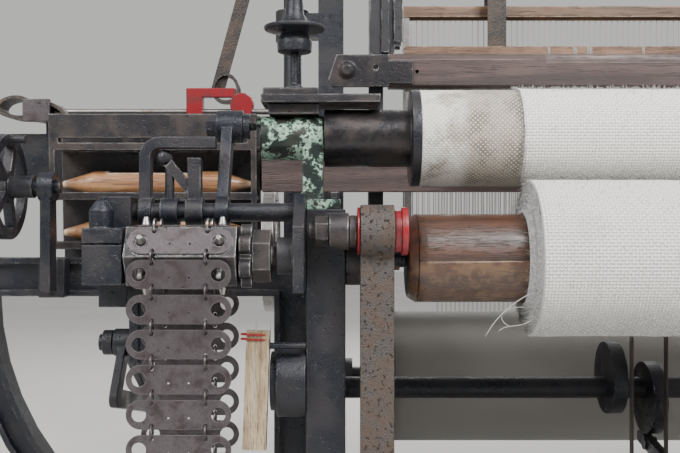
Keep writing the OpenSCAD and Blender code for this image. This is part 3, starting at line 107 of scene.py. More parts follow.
# %% [markdown]
# ## Light and floor
# Two large soft lamps and a pale sky keep shadows gentle and still draw a highlight along each worn
# edge. A lamp high on the right gives the brighter side of the rollers, a weaker one fills the left,
# and a third behind the loom keeps its back readable in other views.

# %% Light and floor
CORNER = (-0.6, -0.4, 0.8)
MIDDLE = (0, 0, 0.7)
FLOOR = 14.0


def soft_lamp(name, place, target, size, watts):
    """A square area lamp at place that looks at target."""
    data = bpy.data.lights.new(name, "AREA")
    data.size = size
    data.energy = watts
    lamp = show(bpy.data.objects.new(name, data))
    lamp.location = place
    lamp.rotation_euler = (Vector(target) - Vector(place)).to_track_quat("-Z", "Y").to_euler()


soft_lamp("lamp_right", (1.0, -2.6, 3.3), CORNER, 1.5, 250)
soft_lamp("lamp_left", (-2.8, -2.3, 2.9), CORNER, 1.7, 135)
soft_lamp("lamp_behind", (0.5, 3.6, 3.0), MIDDLE, 2.5, 90)

world = bpy.data.worlds.new("pale_room")
world.use_nodes = True
sky = world.node_tree.nodes["Background"].inputs
sky["Color"].default_value = (0.86, 0.86, 0.84, 1)
sky["Strength"].default_value = 0.68
bpy.context.scene.world = world

floor_mesh = bpy.data.meshes.new("floor")
corners = [(x * FLOOR, y * FLOOR, 0) for x, y in ((-1, -1), (1, -1), (1, 1), (-1, 1))]
floor_mesh.from_pydata(corners, [], [(0, 1, 2, 3)])
floor = show(bpy.data.objects.new("floor", floor_mesh))
print("lamps", len(bpy.data.lights))

# %% [markdown]
# ## Node helpers
# Every finish is a small node tree. These helpers add a node and join it in one line, so that the
# recipes below stay readable. A value that is a socket gets linked, and any other is written in.

# %% Node helpers
def fill(made, values):
    """Fills a node's inputs with values or with other nodes' outputs."""
    for key, value in values.items():
        socket = made.inputs[key]
        if isinstance(value, bpy.types.NodeSocket):
            made.id_data.links.new(value, socket)
        else:
            socket.default_value = (*value, 1.0) if socket.type == "RGBA" else value


def feed(made, **values):
    """The same for inputs called by name; a name with spaces is written with underscores."""
    fill(made, {key.replace("_", " "): value for key, value in values.items()})


def add(tree, kind, values=None, **settings):
    """A shader node with its settings made and its inputs filled."""
    made = tree.nodes.new("ShaderNode" + kind)
    for key, value in settings.items():
        setattr(made, key, value)
    fill(made, values or {})
    return made


def use(tree, group, **values):
    """Places a group in a tree and gives its outputs."""
    made = add(tree, "Group", node_tree=group)
    feed(made, **values)
    return made.outputs


print("nodes ready")

# %% Maths, noise and colour
def calc(operation, *values):
    """A maths node's result, in the tree of the first value that is a socket."""
    tree = next(value.id_data for value in values if isinstance(value, bpy.types.NodeSocket))
    return add(tree, "Math", dict(enumerate(values)), operation=operation).outputs[0]


# Ready-made operations let a recipe read like a formula.
plus, minus, times = (partial(calc, operation) for operation in ("ADD", "SUBTRACT", "MULTIPLY"))
times_plus = partial(calc, "MULTIPLY_ADD")
one_over = partial(calc, "DIVIDE", 1.0)


def between(value, low, high):
    """0 below low, 1 above high, smooth between."""
    return add(value.id_data, "MapRange", {"Value": value, "From Min": low, "From Max": high},
               interpolation_type="SMOOTHSTEP").outputs[0]


def own_space(tree):
    """A place on the loom, in metres, which stays with the piece when a body moves."""
    return add(tree, "TexCoord").outputs["Object"]


def stretched(vector, by):
    return add(vector.id_data, "VectorMath", {0: vector, 1: by}, operation="MULTIPLY").outputs[0]


def cloud(where, scale, detail, **more):
    """A noise texture's value."""
    values = {"Vector": where, "Scale": scale, "Detail": detail, **more}
    return add(where.id_data, "TexNoise", values).outputs[0]


def painted(colour, *coats):
    """A colour under coats of other colours: each coat is (mask, colour)."""
    for mask, coat in coats:
        colour = add(mask.id_data, "Mix", {0: mask, 6: colour, 7: coat}, data_type="RGBA").outputs[2]
    return colour


def new_group(name, inputs, outputs):
    """An empty shader group with named sockets: its tree, its input sockets and its output node."""
    tree = bpy.data.node_groups.new(name, "ShaderNodeTree")
    for label, value in inputs.items():
        kind = "NodeSocketVector" if isinstance(value, tuple) else "NodeSocketFloat"
        tree.interface.new_socket(label, in_out="INPUT", socket_type=kind).default_value = value
    for label in outputs:
        tree.interface.new_socket(label, in_out="OUTPUT", socket_type="NodeSocketFloat")
    return tree, tree.nodes.new("NodeGroupInput").outputs, tree.nodes.new("NodeGroupOutput")


print("recipes ready")

# %% [markdown]
# ## Blotches
# Oil, dust and handling leave soft patches of several sizes. One noise gives them, at the size that
# a finish asks for. It is measured in the loom's own space, so it doesn't slide when a body moves.

# %% Blotches group
tree, put, out = new_group("Blotches", {"Size": 0.08, "Low": 0.4, "High": 0.65, "Offset": 0.0}, ["Mask"])
shifted = add(tree, "VectorMath", {0: own_space(tree), 1: put["Offset"]}, operation="ADD").outputs[0]
cloudy = cloud(shifted, one_over(put["Size"]), 6.0, Roughness=0.62)
feed(out, Mask=between(cloudy, put["Low"], put["High"]))
blotches = tree


def patches(tree, size, low, high, offset=0.0):
    """The blotches' mask: patches of a size, where the noise is above low to high."""
    return use(tree, blotches, Size=size, Low=low, High=high, Offset=offset)["Mask"]


print("group", blotches.name)

# %% [markdown]
# ## Edge wear
# Hands, belts and cleaning rags polish corners first. The Bevel node rounds the normal near an edge;
# where that rounded normal leaves the true one, there is an edge. Noise breaks the line up, so that
# the wear looks rubbed and not drawn.

# %% Edge wear group
tree, put, out = new_group("Edge wear", {"Width": 0.004, "Amount": 0.5, "Grain": 0.02}, ["Mask"])
rounded = add(tree, "Bevel", {"Radius": put["Width"]}, samples=4).outputs[0]
true_normal = add(tree, "NewGeometry").outputs["Normal"]
same = add(tree, "VectorMath", {0: rounded, 1: true_normal}, operation="DOT_PRODUCT").outputs["Value"]
edge = times(minus(1.0, same), 7.0)
broken = cloud(own_space(tree), one_over(put["Grain"]), 8.0, Roughness=0.7)
level = plus(times(broken, 1.6), minus(put["Amount"], 1.25))
feed(out, Mask=between(times(edge, level), 0.05, 0.35))
edge_wear = tree


def rubbed_edges(tree, width, amount):
    """The mask of edge wear of a width."""
    return use(tree, edge_wear, Width=width, Amount=amount)["Mask"]


print("group", edge_wear.name)

# %% [markdown]
# ## Casting skin
# Sand-cast iron keeps the print of its mould: fine grit, a few pits and a slow waviness that shows
# in reflections. The group gives the height for a bump and a mask of the pits, which hold dirt.

# %% Casting skin group
tree, put, out = new_group("Casting skin", {"Grit": 0.0015, "Pits": 0.4, "Wave": 0.4}, ["Height", "Pit mask"])
where = own_space(tree)
grit = cloud(where, one_over(put["Grit"]), 6.0)
pits = cloud(where, calc("DIVIDE", 0.28, put["Grit"]), 5.0, Roughness=0.55)
wave = cloud(where, 28.0, 2.0)
sunk = times(between(pits, 0.58, 0.72), put["Pits"])
relief = plus(times(grit, 0.55), times(wave, put["Wave"]))
feed(out, Height=minus(relief, sunk), Pit_mask=sunk)
casting = tree
print("group", casting.name)

# %% [markdown]
# ## Wood grain
# Boards show long fibres, a few darker bands and short pores. Noise that is stretched many times
# along the board gives all three. Squeeze says which way the fibres run.

# %% Wood grain group
tree, put, out = new_group("Wood grain", {"Squeeze": (0.05, 1.0, 1.0), "Size": 0.02}, ["Band", "Pore", "Height"])
along = stretched(own_space(tree), put["Squeeze"])
per = one_over(put["Size"])
band = cloud(along, per, 4.0, Roughness=0.6, Distortion=0.6)
fibre = cloud(along, times(per, 9.0), 5.0)
pore = between(fibre, 0.56, 0.66)
feed(out, Band=between(band, 0.35, 0.68), Pore=pore,
     Height=minus(times(fibre, 0.6), times(pore, 0.5)))
grain = tree
print("group", grain.name)

# %% [markdown]
# ## Weave
# Plain canvas lifts every other crossing. Two sine waves, one along each yarn, multiply into that
# basket of bumps, and noise makes some yarns thicker. The gaps are where neither yarn reaches. The
# group works in the piece's own flat coordinates, in metres, which its mesh carries as a UV map.

# %% Weave group
tree, put, out = new_group("Weave", {"Yarn": 0.0011, "Slub": 0.5}, ["Height", "Yarn tone", "Dot", "Gap"])
flat = add(tree, "UVMap").outputs[0]
split = add(tree, "SeparateXYZ", {0: flat}).outputs
turn = calc("DIVIDE", pi, put["Yarn"])
halves = [calc("SINE", times(split[k], turn)) for k in (0, 1)]
waves = [calc("ABSOLUTE", half) for half in halves]
over = times(*halves)
ALONG_YARNS = ((900.0, 6.0, 1.0), (6.0, 900.0, 1.0))
yarns = plus(*[cloud(stretched(flat, by), 1.0, 3.0) for by in ALONG_YARNS])
basket = plus(times(times(*waves), 0.8), times(over, 0.25))
hollow = times(*[minus(1.0, wave) for wave in waves])
feed(out, Height=plus(basket, times(yarns, put["Slub"])), Yarn_tone=times(yarns, 0.5), Dot=over,
     Gap=between(times(hollow, yarns), 0.22, 0.62))
weave = tree
print("group", weave.name)

# %% [markdown]
# ## Painted and bare iron
# Nearly all of the loom is cast iron under old paint and oil. One recipe covers the family: a base
# colour with blotches of a second one, dirt in the pits, a chipped coat and bright rubbed edges. The
# masks come from the groups; the shader itself stays in each material.

# %% Iron recipe
PIT_DIRT = (0.012, 0.010, 0.009)


def new_material(name, **constants):
    """A material with a Principled shader and its constant values set on the shader's own sockets."""
    made = bpy.data.materials.new(name)
    made.use_nodes = True
    shader = made.node_tree.nodes["Principled BSDF"]
    feed(shader, **constants)
    return made, made.node_tree, shader


def raise_bumps(shader, height, distance):
    """A bump from a height, given in metres, into the shader's normal."""
    bump = add(shader.id_data, "Bump", {"Height": height, "Strength": 1.0, "Distance": distance})
    feed(shader, Normal=bump.outputs[0])


def iron_finish(name, skin, stain, bright, wear=0.5, width=0.004, pits=0.5, rough=(0.42, 0.66), metal=(0.3, 0.9),
                bump=0.0009, blotch=(0.07, 0.42, 0.62), **constants):
    """Iron: skin with stains, pits and rubbed bright edges. rough and metal are (skin, edge) pairs."""
    made, tree, shader = new_material(name, **constants)
    spots = patches(tree, *blotch)
    fine = patches(tree, blotch[0] * 0.17, 0.45, 0.7, 3.7)
    rubbed = rubbed_edges(tree, width, wear)
    surface = use(tree, casting, Pits=pits)
    dull = times_plus(spots, rough[1] - rough[0], rough[0])
    tint = painted(skin, (spots, stain), (times(fine, 0.35), stain),
                   (times(surface["Pit mask"], 0.9), PIT_DIRT), (rubbed, bright))
    feed(shader, Base_Color=tint, Roughness=minus(dull, times(rubbed, 0.14)),
         Metallic=times_plus(rubbed, metal[1] - metal[0], metal[0]))
    raise_bumps(shader, surface["Height"], bump)
    return made


BARE = (0.27, 0.26, 0.26)
dark_iron = iron_finish(
    "dark_iron", (0.008, 0.010, 0.016), (0.021, 0.019, 0.022), BARE, rough=(0.27, 0.50), metal=(0.15, 0.9),
    bump=0.0012, Specular_IOR_Level=0.42)
worn_iron = iron_finish(
    "worn_iron", (0.025, 0.024, 0.028), (0.056, 0.045, 0.041), (0.33, 0.32, 0.32), wear=0.72, pits=0.8,
    rough=(0.36, 0.60), metal=(0.50, 0.95))
rusty_iron = iron_finish(
    "rusty_iron", (0.056, 0.049, 0.046), (0.080, 0.057, 0.044), (0.24, 0.22, 0.21), pits=1.0, rough=(0.44, 0.74),
    metal=(0.35, 0.6), bump=0.0032, blotch=(0.022, 0.40, 0.62))
used_steel = iron_finish(
    "used_steel", (0.34, 0.33, 0.325), (0.17, 0.135, 0.11), (0.55, 0.54, 0.53), pits=0.35, rough=(0.30, 0.52),
    metal=(0.95, 1.0), bump=0.0004, blotch=(0.03, 0.48, 0.72))
oily_steel = iron_finish(
    "oily_steel", (0.026, 0.025, 0.029), (0.060, 0.050, 0.046), BARE, wear=0.3, pits=0.3, rough=(0.24, 0.46),
    metal=(0.75, 0.95), bump=0.0005)
card_steel = iron_finish(
    "card_steel", (0.105, 0.092, 0.098), (0.052, 0.041, 0.041), (0.38, 0.36, 0.36), wear=0.6, width=0.0012,
    rough=(0.36, 0.58), metal=(0.75, 1.0), bump=0.0004, blotch=(0.02, 0.42, 0.68))
red_paint = iron_finish(
    "red_paint", (0.215, 0.003, 0.008), (0.115, 0.005, 0.008), (0.07, 0.05, 0.045), wear=0.62, width=0.003,
    pits=0.3, rough=(0.34, 0.50), metal=(0.0, 0.5), bump=0.0005, blotch=(0.02, 0.46, 0.66), Coat_Weight=0.25,
    Coat_Roughness=0.12)
print("finishes", len(bpy.data.materials))

# %% [markdown]
# ## Chipped green paint
# The bearing brackets were painted pale green over black and have lost half of it. Sharp-edged
# patches need a hard mask, so the blotches are read with their limits close together, twice: once
# for the paint and once, smaller, for the scratches in it.

# %% Green paint
green_paint, tree, shader = new_material("green_paint", Coat_Weight=0.1)
under = patches(tree, 0.05, 0.40, 0.62)
coat = patches(tree, 0.022, 0.47, 0.54, 1.9)
scratch = patches(tree, 0.0045, 0.50, 0.60, 5.1)
whole = minus(1.0, rubbed_edges(tree, 0.004, 0.8))
left = times(times(coat, minus(1.0, scratch)), whole)
mint = painted((0.17, 0.31, 0.22), (patches(tree, 0.02, 0.3, 0.7, 9.0), (0.31, 0.43, 0.34)))
feed(shader, Base_Color=painted((0.010, 0.018, 0.015), (under, (0.042, 0.040, 0.034)), (left, mint)),
     Roughness=times_plus(left, 0.12, 0.42), Metallic=times(minus(1.0, left), 0.5))
grit = use(tree, casting, Pits=0.6)["Height"]
raise_bumps(shader, times_plus(left, 0.8, grit), 0.0008)
print("finish", green_paint.name)

# %% [markdown]
# ## Wood
# The reed cap and the rollers are varnished and dark with handling; the heald staves and shuttles
# are lighter and worn to pale wood at their edges. Each is the same grain with other colours, and
# the fibres run along X in all of them. The picking sticks and crank arms point forwards, so theirs
# run along Y, and the loose strip beside the cards stands up, along Z.

# %% Wood recipe
ALONG_X = (0.06, 1.0, 1.0)
ALONG_Y = (1.0, 0.06, 1.0)
ALONG_Z = (1.0, 1.0, 0.06)
PORE_DIRT = (0.020, 0.011, 0.006)


def own_axis(tree, k):
    """The place along X, Y or Z, in metres."""
    return add(tree, "SeparateXYZ", {0: own_space(tree)}).outputs[k]


def wood_finish(name, dark, light, raw, squeeze=ALONG_X, size=0.02, wear=0.6, width=0.006, rough=0.5, bump=0.0007,
                joint=None, **constants):
    """Wood with bands, pores and edges rubbed raw. Below the height joint it is paler, in scuffed patches."""
    made, tree, shader = new_material(name, **constants)
    fibres = use(tree, grain, Squeeze=squeeze, Size=size)
    dirt = patches(tree, 0.06, 0.40, 0.66)
    coats = [(fibres["Band"], dark), (times(dirt, 0.55), dark), (rubbed_edges(tree, width, wear), raw)]
    if joint:
        # Below that height the wood turns paler, in scuffed patches.
        scuffed = times_plus(patches(tree, 0.014, 0.42, 0.62, 6.0), 0.6, 0.1)
        coats.append((times(calc("LESS_THAN", own_axis(tree, 2), joint), scuffed), raw))
    coats.append((times(fibres["Pore"], 0.55), PORE_DIRT))
    feed(shader, Base_Color=painted(light, *coats), Roughness=times_plus(dirt, 0.18, rough))
    raise_bumps(shader, fibres["Height"], bump)
    return made


roller_wood = wood_finish(
    "roller_wood", (0.026, 0.012, 0.008), (0.074, 0.028, 0.013), (0.135, 0.075, 0.036), rough=0.33, size=0.011,
    bump=0.0010, joint=0.7085, Coat_Weight=0.3, Coat_Roughness=0.2)
stave_wood = wood_finish("stave_wood", (0.085, 0.045, 0.025), (0.21, 0.115, 0.065), (0.34, 0.24, 0.16), rough=0.46)
cap_wood = wood_finish("cap_wood", (0.038, 0.026, 0.024), (0.092, 0.060, 0.054), (0.15, 0.10, 0.08), rough=0.44)
shuttle_wood = wood_finish(
    "shuttle_wood", (0.20, 0.085, 0.035), (0.45, 0.24, 0.11), (0.62, 0.50, 0.38), wear=0.9, width=0.012,
    rough=0.34, Coat_Weight=0.2)
stick_wood = wood_finish("stick_wood", (0.11, 0.055, 0.028), (0.25, 0.14, 0.07), (0.36, 0.24, 0.14), squeeze=ALONG_Y)
strip_wood = wood_finish(
    "strip_wood", (0.24, 0.16, 0.090), (0.52, 0.42, 0.27), (0.60, 0.50, 0.35), squeeze=ALONG_Z, size=0.012,
    rough=0.7, bump=0.0012)
print("woods", [m.name for m in bpy.data.materials if "wood" in m.name])

# %% [markdown]
# ## Canvas, yarn, rope and leather
# The cloth is undyed canvas: near white, matt, with a soft sheen from its fuzz. Its weave follows
# the flat map on each cloth mesh. Yarn and rope are the same recipe in other colours.

# %% Soft finishes
# Painted shade for the pin holes between the yarns.
GAP_SHADE_TINT = (0.20, 0.19, 0.18)
# Soiling and painted shade on the lower side of a roll.
SOIL_AND_SHADE_TINT = (0.16, 0.155, 0.165)


def cloth_finish(name, clean, grey, yarn, dirt_limits, bump, soil_and_shade=None):
    """Woven cloth: two tones of yarn, painted shade in the pin holes between them, and soiling and painted shade that
    grow down from soil_and_shade[1] to soil_and_shade[0].
    """
    made, tree, shader = new_material(name, Roughness=0.92, Sheen_Weight=0.35, Sheen_Roughness=0.6)
    threads = use(tree, weave, Yarn=yarn, Slub=0.5)
    coats = [(threads["Yarn tone"], clean), (times(patches(tree, 0.09, *dirt_limits), 0.6), grey)]
    if soil_and_shade:
        # Soiling and painted shade darken the cloth towards the lower side of the roll.
        broken = times_plus(threads["Dot"], -0.3, patches(tree, 0.004, 0.2, 0.8))
        coats.append((times(between(own_axis(tree, 2), soil_and_shade[1], soil_and_shade[0]), broken), SOIL_AND_SHADE_TINT))
    # The pin holes between the yarns are darkened: painted shade.
    coats.append((times(threads["Gap"], 0.85), GAP_SHADE_TINT))
    feed(shader, Base_Color=painted(grey, *coats))
    raise_bumps(shader, threads["Height"], bump)
    return made


# The last pair is the height band where soiling and painted shade darken the roll's lower side.
canvas = cloth_finish("canvas", (0.90, 0.885, 0.84), (0.66, 0.64, 0.59), 0.0041, (0.52, 0.78), 0.0016, (0.800, 0.850))
wound_canvas = cloth_finish(
    "wound_canvas", (0.88, 0.865, 0.82), (0.52, 0.50, 0.46), 0.0043, (0.50, 0.74), 0.0018, (0.606, 0.668))
frayed = cloth_finish("frayed", (0.86, 0.855, 0.84), (0.60, 0.59, 0.58), 0.0011, (0.45, 0.75), 0.0012)
yarn = cloth_finish("yarn", (0.78, 0.74, 0.66), (0.52, 0.48, 0.41), 0.0009, (0.5, 0.8), 0.0003)
rope = cloth_finish("rope", (0.34, 0.26, 0.17), (0.14, 0.10, 0.07), 0.004, (0.42, 0.7), 0.0015)

leather, tree, shader = new_material("leather", Coat_Weight=0.15, Coat_Roughness=0.4)
patch = patches(tree, 0.03, 0.38, 0.66)
feed(shader, Roughness=times_plus(patch, 0.2, 0.42),
     Base_Color=painted((0.022, 0.016, 0.013), (patch, (0.062, 0.039, 0.027)),
                        (rubbed_edges(tree, 0.003, 0.3), (0.13, 0.088, 0.062))))
raise_bumps(shader, patches(tree, 0.0035, 0.42, 0.6, 2.0), 0.0006)

pale_floor, tree, shader = new_material("pale_floor", Roughness=0.85)
smudge = patches(tree, 0.9, 0.3, 0.7)
feed(shader, Base_Color=painted((0.60, 0.59, 0.57), (smudge, (0.64, 0.63, 0.61))))
floor_mesh.materials.append(pale_floor)
print("finishes", len(bpy.data.materials))

# %% [markdown]
# ## Rounded castings
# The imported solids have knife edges. Real castings, boards and forgings are rounded at every corner,
# and that is what catches the light. Each solid is copied, its flat faces are joined up again, its
# sharp edges get a small bevel, and the copy stands for the solid on the same body.

# %% Placing a piece
def even_shading(piece, angle=40):
    """Smooth shading that still keeps corners sharper than angle."""
    piece.data.shade_smooth()
    piece.data.set_sharp_from_angle(angle=radians(angle))
    piece.modifiers.new("even", "WEIGHTED_NORMAL").keep_sharp = True
    return piece


def place(piece, body, slot, *finishes):
    """Shows a piece, gives it its finishes, and rides it on a body, if one is given."""
    show(piece)
    for finish in finishes:
        piece.data.materials.append(finish)
    if body:
        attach(piece, body)


print("placing ready")

# %% Rounded copies
SHARP = radians(32)
FLAT = radians(0.6)
FINEST = 0.0005
FOLDED = 1.01
slots = {part["node"]: part["material_slot"] for part in frame["record"]["subparts"]}


def joined_faces(source, skip):
    """A bmesh of a solid with its flat faces joined up, and the solid's area. skip tests a face's middle."""
    bm = bmesh.new()
    bm.from_mesh(source.data)
    bmesh.ops.remove_doubles(bm, verts=bm.verts, dist=2e-6)
    if skip:
        gone = [f for f in bm.faces if skip(f.calc_center_median())]
        bmesh.ops.delete(bm, geom=gone, context="FACES")
    area = sum(f.calc_area() for f in bm.faces)
    bmesh.ops.dissolve_limit(bm, angle_limit=FLAT, verts=bm.verts, edges=bm.edges, delimit={"NORMAL"})
    return bm, area


def shown_area(mesh):
    """The area of the triangles that get drawn, which grows where a many-cornered face folds over."""
    mesh.calc_loop_triangles()
    return sum(t.area for t in mesh.loop_triangles)


def rounded_copy(node, finish, width, others=(), skip=None):
    """A copy of a solid with rounded edges. others holds (finish, test) for faces whose middle passes.

    The bevel is made narrower until no face folds over. skip leaves out what another piece shows.
    """
    source = frame["nodes"][node]
    mesh = bpy.data.meshes.new(node + "_dressed")
    for share in (1.0, 0.6, 0.3, 0.1, 0.0):
        bm, area = joined_faces(source, skip)
        sharp = [e for e in bm.edges if len(e.link_faces) == 2 and e.calc_face_angle(0) > SHARP]
        if width * share and sharp:
            bmesh.ops.bevel(bm, geom=sharp, offset=width * share, offset_type="OFFSET",
                            segments=2 if width > FINEST else 1, profile=0.6, affect="EDGES", clamp_overlap=False)
        for face in bm.faces:
            middle = face.calc_center_median()
            for number, (_, test) in enumerate(others, 1):
                if test(middle):
                    face.material_index = number
        bm.to_mesh(mesh)
        bm.free()
        if shown_area(mesh) < FOLDED * area:
            break
    if share < 1:
        print("narrower edges:", node, share, round(shown_area(mesh) / area, 3))
    piece = bpy.data.objects.new(node + "_dressed", mesh)
    place(piece, source["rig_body"], slots[node], finish, *[other for other, _ in others])
    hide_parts(node)
    even_shading(piece)


print("solids to dress", len(slots))

# %% Solids with one finish
PLAIN_EDGE = 0.0016
edges = {
    0.0003: "card_chain_front card_chain_rear",
    0.0008: "picker_spindles strap_left strap_right bottom_shaft",
    0.001: "handwheel",
    0.002: "shuttles",
    0.003: "reed_cap sley_beam",
}
widths = {name: width for width, names in edges.items() for name in names.split()}
plain = {
    dark_iron: "side_frame_left side_frame_right cross_rails top_arch outrigger_left outrigger_right shaft_brackets "
               "heald_guides card_bracket lever_shaft reading_levers handwheel box_lever swords box_guides "
               "treadle_front treadle_rear bobbin_stand bottom_shaft",
    worn_iron: "bearing_plates roller_blocks back_rest frame_bolts cap_plates drop_box loose_pulley brake_lever",
    rusty_iron: "hanger_bars",
    red_paint: "red_spools picker_left picker_right",
    green_paint: "takeup_bearings",
    used_steel: "picker_spindles starting_handle top_roller crankshaft",
    card_steel: "card_chain_front card_chain_rear",
    cap_wood: "reed_cap sley_beam",
    shuttle_wood: "shuttles",
    stick_wood: "crank_arm_left crank_arm_right",
    leather: "strap_left strap_right",
}
for finish, names in plain.items():
    for name in names.split():
        rounded_copy(name, finish, widths.get(name, PLAIN_EDGE))
print("rounded", sum(len(names.split()) for names in plain.values()), "solids")

# %% [markdown]
# ## Pieces with more than one finish
# A wooden stick in an iron socket, a wound beam between iron flanges, a worn card cylinder that
# carries steel cards on its pegs: one solid in the frame, two or three finishes here. The faces are
# told apart by where they are.

# %% Card cylinder
CARD_AXIS = Vector((-0.793, -0.600, 0.714))
CARD_HALF = 0.066
FLAT_OUT = 0.0361
CARD_OUT = 0.0382


def from_axis(point, axis):
    """How far a point is from an axis along X."""
    return hypot(point.y - axis.y, point.z - axis.z)


def above_flat(point):
    """How far a point of the card cylinder is out from its axis, square to the nearest flat."""
    if abs(point.x - CARD_AXIS.x) >= CARD_HALF:
        return 0
    angle = atan2(point.z - CARD_AXIS.z, point.y - CARD_AXIS.y)
    return from_axis(point, CARD_AXIS) * cos(angle % (pi / 3) - pi / 6)


rounded_copy("card_cylinder", worn_iron, 0.0006, [(card_steel, lambda p: FLAT_OUT < above_flat(p) < CARD_OUT),
                                                  (used_steel, lambda p: above_flat(p) >= CARD_OUT)])
print("flats at", FLAT_OUT, "cards up to", CARD_OUT)

# %% [markdown]
# ## Turned bodies with a skin
# The take-up roller is clothed in a coarse fillet, wound on in a strip, and the cloth roll has a
# soft, layered body. Both are turned shapes whose radius also changes from place to place. A helper
# turns a profile round an axis along X, lets a rule swell the radius, and lays a flat map in metres
# on the surface, for the weave. Threads are thin tubes along a line of places.

# %% Mesh helpers
ROLL = Vector((0, -0.472, 0.870))
CLOTH_ROLL = Vector((0, -0.530, 0.709))


def mesh_piece(name, vertices, faces, maps=()):
    """An object made of vertices and faces. maps holds a flat place for each corner of each face in turn."""
    mesh = bpy.data.meshes.new(name)
    mesh.from_pydata(vertices, [], faces)
    if maps:
        flat_map = mesh.uv_layers.new(name="flat")
        for loop, corner in enumerate(maps):
            flat_map.data[loop].uv = corner
    return bpy.data.objects.new(name, mesh)


def ring_point(axis, x, radius, angle):
    """A place at an angle round an axis along X."""
    return x, axis.y + radius * cos(angle), axis.z + radius * sin(angle)


print("mesh helpers ready")

# %% Turning helper
def turned(name, profile, axis, segments, swell):
    """A solid turned round an axis along X. profile is [(x, radius)]; swell(x, angle, radius) is added."""
    vertices, faces, maps = [], [], []
    for x, radius in profile:
        for j in range(segments):
            angle = 2 * pi * j / segments
            vertices.append(ring_point(axis, x, radius + swell(x, angle, radius), angle))
    along = 0.0
    for k, ((x0, r0), (x1, r1)) in enumerate(zip(profile, profile[1:])):
        step = hypot(x1 - x0, r1 - r0)
        arc = 2 * pi * max(r0, r1) / segments
        a, b = k * segments, (k + 1) * segments
        for j in range(segments):
            n = (j + 1) % segments
            faces.append((a + j, b + j, b + n, a + n))
            maps += [(along, j * arc), (along + step, j * arc), (along + step, (j + 1) * arc), (along, (j + 1) * arc)]
        along += step
    for end in (tuple(reversed(range(segments))), tuple(range(len(vertices) - segments, len(vertices)))):
        faces.append(end)
        maps += [vertices[v][1:] for v in end]
    piece = mesh_piece(name, vertices, faces, maps)
    piece.data.validate()
    return piece


print("turning ready")

# %% Thread helpers
def tube_faces(start, count, sides, closed=False):
    """The faces of a tube of count rings whose vertices begin at start, with end caps unless it is closed."""
    faces = []
    for k in range(count if closed else count - 1):
        a, b = start + k * sides, start + (k + 1) % count * sides
        for s in range(sides):
            n = (s + 1) % sides
            faces.append((a + s, a + n, b + n, b + s))
    if not closed:
        faces.append(tuple(start + s for s in reversed(range(sides))))
        faces.append(tuple(start + (count - 1) * sides + s for s in range(sides)))
    return faces


def strands(name, lines, radius, sides=4):
    """Many threads as one mesh: each line is a list of places, made into a thin tube with closed ends."""
    vertices, faces = [], []
    for places in lines:
        last = len(places) - 1
        faces += tube_faces(len(vertices), len(places), sides)
        for k, p in enumerate(places):
            run = (Vector(places[min(k + 1, last)]) - Vector(places[max(k - 1, 0)])).normalized()
            side = run.cross(Vector((0.31, 0.17, 0.93))).normalized()
            up = run.cross(side)
            taper = radius if k < last else radius * 0.6
            for s in range(sides):
                a = 2 * pi * s / sides
                vertices.append(Vector(p) + taper * (cos(a) * side + sin(a) * up))
    piece = mesh_piece(name, vertices, faces)
    piece.data.shade_smooth()
    return piece


FUZZ_R = 0.00022
NAP_R = 0.00030


def stubble(name, spots):
    """Short fibres that stand off a surface: spots holds (root, outward) pairs."""
    lines = []
    for root, out in spots:
        lean = Vector(random.uniform(-0.6, 0.6) for _ in range(3))
        reach = random.choice((0.0014, 0.0022, 0.0030, 0.0048))
        lines.append([root - 0.0005 * out, root + reach * (out * 0.85 + lean)])
    return strands(name, lines, NAP_R, sides=3)


print("threads ready")

# %% [markdown]
# ## Canvas on the take-up roller
# The woven cloth runs flat from the reed to the top of the roller, hugs its front and goes down to
# the nip. It is one sheet that follows the side view of the frame's cloth, with a little slack in
# its selvedge, and a Solidify modifier makes it 0.8 mm thick.

# %% Canvas sheet
CLOTH_HALF = 0.363
THICKNESS = 0.0008
RUN_STEPS = 24
WRAP_STEPS = 60
COLUMNS = 140
WRAP_FROM, WRAP_TO = 84, 244
SELVEDGE = 0.965

random.seed(7)
low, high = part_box("cloth")
CLOTH_R = high.z - ROLL.z - 0.0006
fell = (high.y - 0.001, 0.9200)


def wrap_point(degrees):
    """A place of the side view, as (y, z), where the cloth lies on the roller."""
    return ring_point(ROLL, 0, CLOTH_R, radians(degrees))[1:]


top = wrap_point(WRAP_FROM)
side_view = [tuple(a + (b - a) * (k / RUN_STEPS) for a, b in zip(fell, top)) for k in range(RUN_STEPS + 1)]
side_view += [wrap_point(WRAP_FROM + (WRAP_TO - WRAP_FROM) * k / WRAP_STEPS) for k in range(1, WRAP_STEPS + 1)]
lengths = [0.0]
for k in range(1, len(side_view)):
    lengths.append(lengths[-1] + dist(side_view[k], side_view[k - 1]))


def outward(k, y, z):
    """Straight out of the sheet at (y, z), between places k and k + 1 of the side view."""
    return Vector((0, y - ROLL.y, z - ROLL.z)).normalized() if k > RUN_STEPS else Vector((0, 0, 1))


